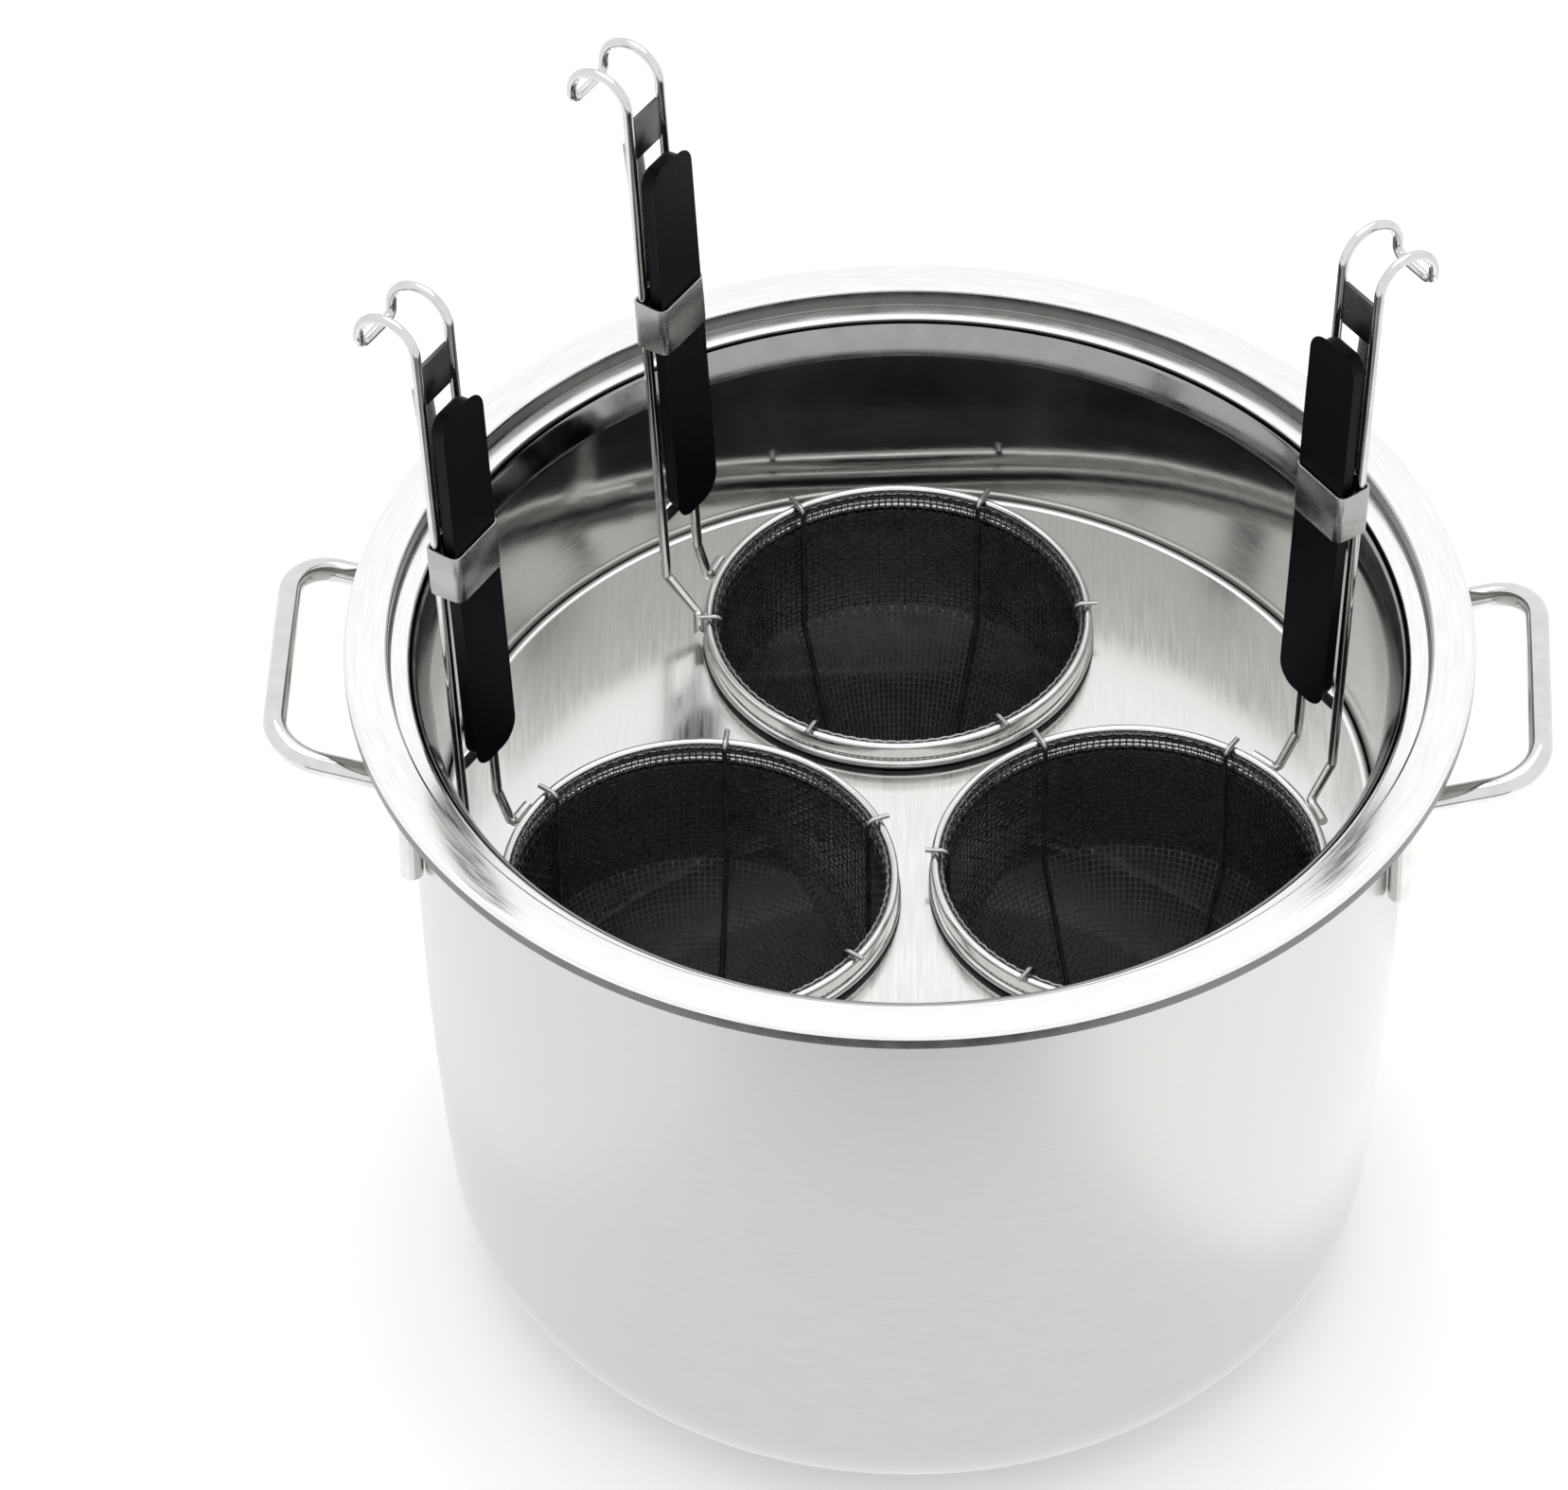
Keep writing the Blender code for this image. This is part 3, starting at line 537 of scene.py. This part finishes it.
def pot_profile():
    """The drawn sheet from the middle of the floor up inside, over the rim and down outside.

    Each stretch between two of its points is given a finish of POT_SKINS.
    """
    straight_base = POT_HEIGHT - POT_STRAIGHT
    upright = straight_base - POT_CORNER_RADIUS
    inset = math.sqrt((POT_BELLY_RADIUS - POT_CORNER_RADIUS) ** 2 - upright ** 2)
    belly = (WALL_OUTER - POT_BELLY_RADIUS, straight_base)
    corner = (belly[0] + inset, POT_CORNER_RADIUS)
    meet = math.atan2(upright, inset)
    inner_corner = POT_CORNER_RADIUS - POT_SHEET
    floor_angle = math.asin((POT_CORNER_RADIUS - POT_FLOOR) / inner_corner)
    seat = POT_HEIGHT - SEAT_DEPTH
    step = BORE + SEAT_WIDTH
    rim = step + FLANGE_WIDTH
    under = POT_HEIGHT - POT_SHEET
    inside = [(0, POT_FLOOR), (POT_FLOOR_FLAT, POT_FLOOR)]
    inside += arc(corner, inner_corner, -floor_angle, -meet, 16)
    inside += arc(belly, POT_BELLY_RADIUS - POT_SHEET, -meet, 0, 16)[1:]
    inside += [(BORE, seat - FLARE_DEPTH - SEAT_ROUND)]
    wall_top = len(inside)
    inside += [(BORE + FLARE, seat - FLARE_TOP - SEAT_ROUND)]
    inside += arc((BORE + FLARE + SEAT_ROUND, seat - SEAT_ROUND), SEAT_ROUND, math.pi, QUARTER, 6)
    step_start = len(inside)
    inside += arc((step - EDGE_ROUND, seat + EDGE_ROUND), EDGE_ROUND, -QUARTER, 0, 5)
    step_end = len(inside)
    inside += arc((step + EDGE_ROUND, POT_HEIGHT - EDGE_ROUND), EDGE_ROUND, math.pi, QUARTER, 6)
    flange = arc((rim - LIP_ROUND, POT_HEIGHT - LIP_ROUND), LIP_ROUND, QUARTER, 0, LIP_SEGMENTS)
    flange += [(rim, POT_HEIGHT - LIP_DROP), (rim - POT_SHEET, POT_HEIGHT - LIP_DROP)]
    outside = [(rim - POT_SHEET, POT_HEIGHT - LIP_ROUND), (rim - LIP_ROUND, under)]
    outside += [(step + POT_SHEET, under), (step + POT_SHEET, seat - POT_SHEET)]
    outside += [(WALL_OUTER, seat - POT_SHEET)]
    outside += arc(belly, POT_BELLY_RADIUS, 0, -meet, 16)
    outside += arc(corner, POT_CORNER_RADIUS, -meet, -QUARTER, 24)[1:]
    outside += [(0, 0)]
    floor = 1 + sum(height < POT_FLOOR + POT_FLOOR_DULL for radius, height in inside)
    zones = ["base"] * floor + ["mirror"] * (len(inside) - 1 - floor)
    zones += ["flange"] * len(flange) + ["satin"] * len(outside)
    seat_start = wall_top + 3
    lip_side = len(inside) + LIP_SEGMENTS - 1
    # The inner wall's top under the seat, the step and the lip's side get a darker steel: painted shade for
    # the dark lines there.
    for finish, start, end in (("step", wall_top, seat_start), ("flange", seat_start, step_start),
                               ("step", step_start, step_end), ("step", lip_side, lip_side + 3)):
        zones[start:end] = [finish] * (end - start)
    return inside + flange + outside, [POT_SKINS.index(zone) for zone in zones]


def make_pot(finishes):
    profile, zones = pot_profile()
    mesh = turned("pot_shell", profile, POT_STEPS, [finishes[skin] for skin in POT_SKINS], zones)
    piece("pot_shell", mesh, "pot", ["pot_body"])


def side_rod_points():
    half = ROD_WIDTH / 2
    foot = math.sqrt((WALL_OUTER + SEAT_GAP + ROD / 2) ** 2 - half ** 2)
    bar = WALL_OUTER + ROD_REACH
    bar_height = POT_HEIGHT - ROD_DROP
    bend_height = bar_height - ROD_RISE
    side = [(foot, bend_height - ROD_FOOT), (foot, bend_height), (bar, bar_height)]
    corners = [(x, -half, z) for x, z in side] + [(x, half, z) for x, z in reversed(side)]
    return bent_path(corners, [ROD_FOOT_BEND, ROD_CORNER, ROD_CORNER, ROD_FOOT_BEND])


def make_side_handles(finishes):
    mesh = rod_mesh("side_rod", side_rod_points(), ROD, finishes["rod"])
    for tag, turn in (("right", ROD_TURN), ("left", ROD_TURN + math.pi)):
        node = f"side_handle_{tag}"
        piece(f"{tag}_side_rod", mesh, "pot", [node], Matrix.Rotation(turn, 4, "Z"))


def basket_place(tag):
    """The middle of a basket's hole, on top of the plate."""
    low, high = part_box(f"basket_{tag}_stop_ring")
    return Vector(((low.x + high.x) / 2, (low.y + high.y) / 2, PLATE_TOP))


def make_plate(finishes):
    radius = PLATE_BEAD / 2
    middle = (PLATE_RADIUS - radius, PLATE_TOP + BEAD_PROUD - radius)
    above = math.asin((radius - BEAD_PROUD) / radius)
    below = math.asin((radius - BEAD_PROUD - PLATE_THICKNESS) / radius)
    bead = arc(middle, radius, math.pi - above, -math.pi - below, 20)
    profile = [(0, PLATE_TOP), *bead, (0, PLATE_TOP - PLATE_THICKNESS)]
    zones = [0, *[1] * (len(bead) - 1), 0]
    mesh = turned("divider_sheet", profile, PLATE_STEPS, [finishes["plate"], finishes["bead"]], zones)
    disc = bpy.data.objects.new("divider_disc", mesh)
    bpy.context.scene.collection.objects.link(disc)
    helpers = [disc]
    for tag in HANDLE_TURNS:
        work = bmesh.new()
        bmesh.ops.create_cone(work, cap_ends=True, segments=HOLE_STEPS, radius1=HOLE_RADIUS,
                              radius2=HOLE_RADIUS, depth=HOLE_CUT)
        cutter_mesh = bpy.data.meshes.new("hole")
        work.to_mesh(cutter_mesh)
        work.free()
        cutter = bpy.data.objects.new("hole", cutter_mesh)
        cutter.location = basket_place(tag)
        bpy.context.scene.collection.objects.link(cutter)
        helpers.append(cutter)
        hole = disc.modifiers.new("Hole", "BOOLEAN")
        hole.operation = "DIFFERENCE"
        hole.solver = "EXACT"
        hole.object = cutter
    bpy.context.view_layer.update()
    graph = bpy.context.evaluated_depsgraph_get()
    sheet = bpy.data.meshes.new_from_object(disc.evaluated_get(graph))
    for helper in helpers:
        bpy.data.objects.remove(helper)
    sheet.shade_smooth()
    sheet.set_sharp_from_angle(angle=SHARP)
    piece("divider_sheet", sheet, "divider", ["divider_plate"])


def make_tray_wall(finishes):
    """The tray's upstanding wall: from the plate's bead up to a flared shoulder under the lid seat."""
    low = PLATE_TOP + BEAD_PROUD - PLATE_BEAD
    top = POT_HEIGHT - SEAT_DEPTH - TRAY_EDGE_DROP
    base = PLATE_RADIUS + SEAT_GAP
    edge = BORE - TRAY_CLEARANCE
    neck = base + TRAY_SPREAD
    shoulder = top - TRAY_SHOULDER
    inner = [(base, low), (base, PLATE_TOP + PLATE_BEAD), (neck, shoulder)]
    for step in range(1, TRAY_STEPS + 1):
        share = step / TRAY_STEPS
        spread = (edge - TRAY_SHEET - neck) * share ** FLARE_POWER
        inner.append((neck + spread, shoulder + TRAY_SHOULDER * share))
    outer = [(radius + TRAY_SHEET, height) for radius, height in inner]
    tip = ((inner[-1][0] + outer[-1][0]) / 2, top + TRAY_TIP)
    profile = [*inner, tip, *outer[::-1]]
    # The flared shoulder up to the edge gets a darker steel: painted shade under the lid seat.
    zones = [0] * len(profile)
    zones[2:len(inner) + 1] = [1] * (len(inner) - 1)
    skins = [finishes["mirror"], finishes["shoulder"]]
    mesh = turned("tray_wall", profile, POT_STEPS, skins, zones, closed=True)
    piece("tray_wall", mesh, "divider", ["divider_plate"])


def cup_line(offset):
    """One side of the cup's wall, from its mouth down to its pole, inset by offset."""
    radius = CUP_RADIUS - offset
    knee = offset * math.tan(CUP_TAPER / 2) - CUP_STRAIGHT
    bottom = arc((0, BALL_MIDDLE), CUP_BALL - offset, -CUP_TAPER, -QUARTER, 24)
    return [(radius, BAND_TOP - SEAT_GAP), (radius, knee), *bottom]


def mesh_rows():
    """Crossing rows of the weave, evenly spaced down the wall: radius, height, outward and downward."""
    line = [Vector(point) for point in cup_line(CUP_THICKNESS / 2)]
    rows = []
    travelled = MESH_WIRE
    for start, end in zip(line, line[1:]):
        span = (end - start).length
        along = (end - start) / span
        while travelled < span:
            point = start + along * travelled
            if point.x < MESH_END:
                return rows
            rows.append((point, Vector((-along.y, along.x)), along))
            travelled += MESH_PITCH
        travelled -= span
    return rows


def stride(radius):
    """Every how many uprights reach a row of this radius."""
    return 2 ** sum(radius < limit for limit in MESH_THINNING)


def add_strand(work, centres, sides, closed):
    """One wire of the weave: a thin tube on centres, with two side directions at each."""
    wire = MESH_WIRE / 2
    turns = [FULL_TURN * side / MESH_SIDES for side in range(MESH_SIDES)]
    loops = []
    for centre, (across, out) in zip(centres, sides):
        loops.append([work.verts.new(centre + across * (wire * math.sin(t)) + out * (wire * math.cos(t)))
                      for t in turns])
    pairs = list(zip(loops, loops[1:]))
    if closed:
        pairs.append((loops[-1], loops[0]))
    for first, second in pairs:
        for side in range(MESH_SIDES):
            after = (side + 1) % MESH_SIDES
            work.faces.new((first[side], first[after], second[after], second[side]))
    if not closed:
        work.faces.new(loops[0][::-1])
        work.faces.new(loops[-1])


def woven_cup(material):
    """Plain weave of round wires and uprights, each bent over and under the other."""
    rows = mesh_rows()
    bend = MESH_WIRE / 2
    work = bmesh.new()
    turns = [FULL_TURN * index / MESH_UPRIGHTS for index in range(MESH_UPRIGHTS)]
    spokes = [Vector((math.cos(t), math.sin(t), 0)) for t in turns]
    arounds = [Vector((-math.sin(t), math.cos(t), 0)) for t in turns]
    up = Vector((0, 0, 1))

    def crossing(row, index, lift):
        point, out, along = rows[row]
        normal = spokes[index] * out.x + up * out.y
        order = 1 if (row + index // stride(point.x)) % 2 else -1
        centre = spokes[index] * point.x + up * point.y + normal * (order * lift)
        return centre, normal, spokes[index] * along.x + up * along.y

    for index in range(MESH_UPRIGHTS):
        reached = [row for row in range(len(rows)) if index % stride(rows[row][0].x) == 0]
        points = [crossing(row, index, bend) for row in reached]
        add_strand(work, [p[0] for p in points], [(arounds[index], p[1]) for p in points], False)
    for row in range(len(rows)):
        step = stride(rows[row][0].x)
        points = [crossing(row, index, -bend) for index in range(0, MESH_UPRIGHTS, step)]
        add_strand(work, [p[0] for p in points], [(p[2], p[1]) for p in points], True)
    return mesh_from(work, "woven_cup", [material])


def rib_points():
    """A rib: up along the inside of the cup and out over the band."""
    inset = CUP_THICKNESS + SEAT_GAP + RIB_WIRE / 2
    line = cup_line(inset)
    track = CUP_BALL - inset
    reach = (BASE_RING_WIRE / 2 + SEAT_GAP) / track
    end = -math.acos(BASE_RING_RADIUS / track) + reach
    bottom = arc((0, BALL_MIDDLE), track, -CUP_TAPER, end, 8)
    top = BAND_TOP + SEAT_GAP + RIB_WIRE / 2
    over = [(RIB_TIP, 0, top), (line[0][0], 0, top), (line[1][0], 0, line[1][1])]
    return bent_path(over, [RIB_BEND]) + [(radius, 0, height) for radius, height in bottom]


def base_ring_height():
    track = CUP_BALL - CUP_THICKNESS - SEAT_GAP - BASE_RING_WIRE / 2
    return BALL_MIDDLE - math.sqrt(track ** 2 - BASE_RING_RADIUS ** 2)


def ring_mesh(name, radius, wire, height, material, under):
    """A closed ring of round wire; its underside has a darker material of its own: painted shade under the
    ring.
    """
    section = arc((radius, height), wire / 2, QUARTER, QUARTER - FULL_TURN, WIRE_SIDES)[:-1]
    quarter = WIRE_SIDES // 4
    zones = [int(quarter <= index < 3 * quarter) for index in range(WIRE_SIDES)]
    return turned(name, section, RING_STEPS, [material, under], zones, closed=True)


def band_mesh(material):
    """The flat steel ring round the cup's mouth, with rounded edges."""
    low = BAND_TOP - BAND_HEIGHT
    inner = BAND_INNER + BAND_ROUND
    outer = BAND_OUTER - BAND_ROUND
    profile = arc((inner, BAND_TOP - BAND_ROUND), BAND_ROUND, math.pi, QUARTER, 6)
    profile += arc((outer, BAND_TOP - BAND_ROUND), BAND_ROUND, QUARTER, 0, 6)
    profile += arc((outer, low + BAND_ROUND), BAND_ROUND, 0, -QUARTER, 6)
    profile += arc((inner, low + BAND_ROUND), BAND_ROUND, -QUARTER, -math.pi, 6)
    return turned("rim_band", profile, RING_STEPS, [material], closed=True)


def handle_frame(tag):
    """Frame of a basket's handle: its Z runs up the legs and its X points outward."""
    foot, grip = (math.radians(turn) for turn in HANDLE_TURNS[tag])
    base = Vector((FOOT_RADIUS * math.cos(foot), FOOT_RADIUS * math.sin(foot), FOOT_HEIGHT))
    outward = Vector((math.cos(grip), math.sin(grip), 0))
    shift = Matrix.Translation(base + outward * LEG_OFFSET)
    return shift @ Matrix.Rotation(grip, 4, "Z") @ Matrix.Rotation(LEG_LEAN, 4, "Y")


def leg_points(tag, side):
    """Half of the handle wire, from the end of a foot up to the middle of the hook's tip."""
    foot = math.radians(HANDLE_TURNS[tag][0])
    half = LEG_SPACING / 2
    place = handle_frame(tag)
    lying = [half + FOOT_LENGTH, half + FOOT_LENGTH * 0.67, half + FOOT_LENGTH * 0.33, half]
    angles = [foot + side * along / FOOT_RADIUS for along in lying]
    feet = [Vector((FOOT_RADIUS * math.cos(a), FOOT_RADIUS * math.sin(a), FOOT_HEIGHT)) for a in angles]
    rise = [place @ Vector((0, side * half, height)) for height in (LEG_START, HOOK_START)]
    hook = arc((HOOK_RADIUS, HOOK_START), HOOK_RADIUS, math.pi, 0, 20)
    bow = [place @ Vector((x, side * half, z)) for x, z in hook]
    tip = [place @ Vector((2 * HOOK_RADIUS, side * y, HOOK_START - HOOK_DROP)) for y in (half, 0)]
    lower = bent_path([*feet[2:], *rise], [LEG_BEND / 2, LEG_BEND / 2])
    upper = bent_path([bow[-1], *tip], [HOOK_CORNER])
    return [*feet[:2], *lower[:-1], *bow, *upper[1:-1]]


def rounded_loop(depth, width, rounding, segments=6):
    """Points of a rectangle with rounded corners, round its middle."""
    points = []
    for index, (side_x, side_y) in enumerate(((1, 1), (-1, 1), (-1, -1), (1, -1))):
        centre = (side_x * (depth / 2 - rounding), side_y * (width / 2 - rounding))
        points += arc(centre, rounding, index * QUARTER, (index + 1) * QUARTER, segments)
    return points


def grip_mesh(material):
    """The grip: a bar with round ends and softly rounded edges, on the inner side of the legs."""
    outline = rounded_loop(GRIP_WIDTH, GRIP_LENGTH, GRIP_CORNER, 10)
    work = bmesh.new()
    faces = [work.faces.new([work.verts.new((x, y, z)) for y, z in outline])
             for x in (-GRIP_DEPTH / 2, GRIP_DEPTH / 2)]
    rims = [edge for face in faces for edge in face.edges]
    bmesh.ops.bridge_loops(work, edges=rims)
    bmesh.ops.bevel(work, geom=rims, offset=GRIP_ROUND, offset_type="OFFSET", segments=5, profile=0.5,
                    affect="EDGES")
    return mesh_from(work, "grip", [material])


def clip_mesh(material):
    """A collar of thin strip round the grip and both legs."""
    depth = GRIP_DEPTH + LEG_WIRE + 3 * SEAT_GAP
    width = LEG_SPACING + LEG_WIRE + 2 * SEAT_GAP
    middle = -(GRIP_DEPTH + SEAT_GAP) / 2
    inner = rounded_loop(depth, width, CLIP_BEND)
    outer = rounded_loop(depth + 2 * CLIP_SHEET, width + 2 * CLIP_SHEET, CLIP_BEND + CLIP_SHEET)
    top = CLIP_HEIGHT / 2
    levels = [(inner, -top), (outer, -top), (outer, top), (inner, top)]
    work = bmesh.new()
    loops = [[work.verts.new((middle + x, y, z)) for x, y in outline] for outline, z in levels]
    count = len(inner)
    rims = []
    for first, second in zip(loops, loops[1:] + loops[:1]):
        for index in range(count):
            after = (index + 1) % count
            work.faces.new((first[index], first[after], second[after], second[index]))
            rims.append(work.edges.get((first[index], first[after])))
    bmesh.ops.bevel(work, geom=rims, offset=STRIP_ROUND, segments=2, profile=0.5, affect="EDGES")
    return mesh_from(work, "grip_collar", [material])


def tongue_mesh(material):
    """The spring tongue: a strip that leaves the collar and bows away from the legs."""
    face = LEG_WIRE / 2 + SEAT_GAP + CLIP_SHEET
    tip = LEG_WIRE / 2 + TONGUE_GAP
    low = -CLIP_HEIGHT / 2
    high = CLIP_HEIGHT / 2
    inner = [(face, low + TONGUE_START), (face, high)]
    for step in range(1, TONGUE_STEPS + 1):
        share = step / TONGUE_STEPS
        inner.append((face + (tip - face) * share ** FLARE_POWER, high + TONGUE_LENGTH * share))
    half = TONGUE_WIDTH / 2
    work = bmesh.new()
    rows = []
    for x, z in inner:
        rows.append([work.verts.new(corner) for corner in
                     ((x, -half, z), (x, half, z), (x + TONGUE_THICKNESS, half, z),
                      (x + TONGUE_THICKNESS, -half, z))])
    for first, second in zip(rows, rows[1:]):
        for index in range(4):
            after = (index + 1) % 4
            work.faces.new((first[index], first[after], second[after], second[index]))
    work.faces.new(rows[0][::-1])
    work.faces.new(rows[-1])
    bmesh.ops.recalc_face_normals(work, faces=work.faces)
    long_edges = [edge for edge in work.edges if abs(edge.verts[0].co.y - edge.verts[1].co.y) < 0.1 * MM]
    bmesh.ops.bevel(work, geom=long_edges, offset=STRIP_ROUND, segments=2, affect="EDGES")
    return mesh_from(work, "grip_tongue", [material])


def make_baskets(finishes):
    cup = woven_cup(finishes["woven"])
    band = band_mesh(finishes["band"])
    stop_radius = BAND_INNER + STOP_WIRE / 2
    stop = ring_mesh("stop_ring", stop_radius, STOP_WIRE, SEAT_GAP + STOP_WIRE / 2, finishes["band"],
                     finishes["under"])
    base = ring_mesh("base_ring", BASE_RING_RADIUS, BASE_RING_WIRE, base_ring_height(), finishes["wire"],
                     finishes["wire"])
    rib = rod_mesh("rib", rib_points(), RIB_WIRE, finishes["wire"])
    grip = grip_mesh(finishes["grip"])
    collar = clip_mesh(finishes["clip"])
    tongue = tongue_mesh(finishes["clip"])
    lower_size = (TIE_THICKNESS, TIE_WIDTH, LOWER_TIE_HEIGHT)
    upper_size = (TIE_THICKNESS, TIE_WIDTH, UPPER_TIE_HEIGHT)
    lower_tie = bar_mesh("lower_tie", lower_size, STRIP_ROUND, finishes["band"])
    upper_tie = bar_mesh("upper_tie", upper_size, STRIP_ROUND, finishes["tie"])
    lower = GRIP_RISE - LOWER_TIE_DROP - LOWER_TIE_HEIGHT / 2
    upper = GRIP_TOP + UPPER_TIE_RISE + UPPER_TIE_HEIGHT / 2
    for tag in HANDLE_TURNS:
        body = f"basket_{tag}"
        at = Matrix.Translation(basket_place(tag))
        piece(f"{tag}_woven_cup", cup, body, [f"{body}_cup"], at)
        piece(f"{tag}_rim_band", band, body, [f"{body}_rim_band"], at)
        piece(f"{tag}_stop_ring", stop, body, [f"{body}_stop_ring"], at)
        piece(f"{tag}_base_ring", base, body, [f"{body}_base_ring"], at)
        for index in range(RIB_COUNT):
            turn = math.radians(RIB_TURNS[tag]) + FULL_TURN * index / RIB_COUNT
            piece(f"{tag}_rib_{index + 1}", rib, body, [f"{body}_rib_{index + 1}"],
                  at @ Matrix.Rotation(turn, 4, "Z"))
        points = leg_points(tag, 1) + leg_points(tag, -1)[::-1]
        wire = rod_mesh(f"{tag}_handle_wire", points, LEG_WIRE, finishes["rod"])
        piece(f"{tag}_handle_wire", wire, body, [f"{body}_handle_wire"], at)
        up = at @ handle_frame(tag)
        fittings = [
            ("lower_tie", lower_tie, (0, 0, lower), "clip_steel", [f"{body}_lower_tie"]),
            ("upper_tie", upper_tie, (0, 0, upper), "clip_steel", [f"{body}_upper_tie"]),
            ("grip", grip, (-GRIP_SETBACK, 0, GRIP_RISE + GRIP_LENGTH / 2), "grip_plastic", [f"{body}_grip"]),
            ("grip_collar", collar, (0, 0, CLIP_MIDDLE), "clip_steel", [f"{body}_grip_clip"]),
            ("grip_tongue", tongue, (0, 0, CLIP_MIDDLE), "clip_steel", [f"{body}_grip_clip"]),
        ]
        for kind, mesh, middle, slot, nodes in fittings:
            piece(f"{tag}_{kind}", mesh, body, nodes, up @ Matrix.Translation(middle))


def dress_brackets(finishes):
    for tag in ("left", "right", "front"):
        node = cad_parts[f"plate_bracket_{tag}"]
        node.data.materials.clear()
        node.data.materials.append(finishes["tie"])


def make_floor():
    work = bmesh.new()
    bmesh.ops.create_grid(work, x_segments=1, y_segments=1, size=FLOOR_SIZE / 2)
    mesh = bpy.data.meshes.new("floor")
    work.to_mesh(mesh)
    work.free()
    mesh.materials.append(studio_floor())
    floor = bpy.data.objects.new("floor", mesh)
    bpy.context.scene.collection.objects.link(floor)
    floor.location.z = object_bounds()[0].z - FLOOR_DROP


def add_light(name, place, aim, size, power):
    """A soft square light that points from its place at an aim."""
    data = bpy.data.lights.new(name, "AREA")
    data.shape = "SQUARE"
    data.size = size
    data.energy = power
    light = bpy.data.objects.new(name, data)
    bpy.context.scene.collection.objects.link(light)
    light.location = place
    light.rotation_euler = (Vector(aim) - Vector(place)).to_track_quat("-Z", "Y").to_euler()
    return light


def add_card(name, middle, size, height, glow):
    """A card on the floor that only reflections see: a painted reflection, dark or light by its glow, that
    lights nothing and casts no shadow.
    """
    # the card's material glows though it is no lamp: painted reflection
    made = new_material(f"{name}_paper", {
        "Base Color": linear("#000000"), "Roughness": 0.9, "Specular IOR Level": 0.0,
        "Emission Color": linear("#FFFFFF"), "Emission Strength": glow})[0]
    work = bmesh.new()
    bmesh.ops.create_grid(work, x_segments=1, y_segments=1, size=0.5)
    bmesh.ops.scale(work, vec=(*size, 1), verts=work.verts)
    card = bpy.data.objects.new(name, mesh_from(work, name, [made]))
    bpy.context.scene.collection.objects.link(card)
    card.location = (*middle, height)
    card.visible_camera = False
    card.visible_diffuse = False
    card.visible_shadow = False


def make_studio():
    scene = bpy.context.scene
    world = bpy.data.worlds.new("studio")
    scene.world = world
    world.use_nodes = True
    tree = world.node_tree
    sky = tree.nodes["Background"]
    sky.inputs["Color"].default_value = linear("#FFFFFF")
    sky.inputs["Strength"].default_value = 1.15
    scene.view_settings.view_transform = "Standard"
    add_light("top_softbox", (0, 0.3, 1.6), (0, 0, 0.15), 1.2, 8)
    for name, (middle, size, height, glow) in CARDS.items():
        add_card(name, middle, size, height, glow)


def make_camera():
    data = bpy.data.cameras.new("camera")
    data.lens = LENS_MM
    data.sensor_width = SENSOR_MM
    camera = bpy.data.objects.new("camera", data)
    bpy.context.scene.collection.objects.link(camera)
    tilt = Matrix.Rotation(QUARTER - CAMERA_PITCH, 4, "X")
    camera.matrix_world = Matrix.Translation(CAMERA_PLACE) @ tilt @ Matrix.Rotation(CAMERA_TURN, 4, "Y")
    bpy.context.scene.camera = camera


FINISHES = {
    "satin": satin_steel(),
    "mirror": mirror_steel(),
    "base": base_steel(),
    # darker steel: painted shade on the step, the inner wall's top and the lip's side
    "step": drawn_wire("painted_shade_step_steel", "#7C7C7A", "#5E5E5C", 0.22, 0.34),
    # darker steel on the tray's shoulder: painted shade under the lid seat
    "shoulder": drawn_wire("painted_shade_shoulder_steel", "#A0A09E", "#8A8A88", 0.10, 0.18),
    "flange": flange_steel(),
    "plate": plate_steel(),
    "bead": drawn_wire("polished_bead_steel", "#F2F2F0", "#E2E2E0", 0.32, 0.40),
    # darker steel on the ring's underside: painted shade between the ring and the plate
    "under": drawn_wire("painted_shade_ring_underside", "#4A4A48", "#343432", 0.34, 0.46),
    "band": drawn_wire("polished_ring_steel", "#E2E2E0", "#CCCCCA", 0.10, 0.18),
    "rod": drawn_wire("bright_drawn_rod", "#DADAD8", "#C2C2C0", 0.07, 0.14),
    "wire": drawn_wire("drawn_stainless_wire", "#B8B8B6", "#8E8E8C", 0.16, 0.28),
    "woven": drawn_wire("woven_stainless_wire", "#A6A6A4", "#828280", 0.30, 0.42),
    # darker grey steel for the upper ties and the plate brackets
    "tie": drawn_wire("dark_grey_steel_strip", "#6A6A68", "#4E4E4C", 0.26, 0.38),
    "clip": clip_steel(),
    "grip": grip_plastic(),
}
make_camera()
make_pot(FINISHES)
make_side_handles(FINISHES)
make_plate(FINISHES)
make_tray_wall(FINISHES)
make_baskets(FINISHES)
dress_brackets(FINISHES)
make_floor()
make_studio()
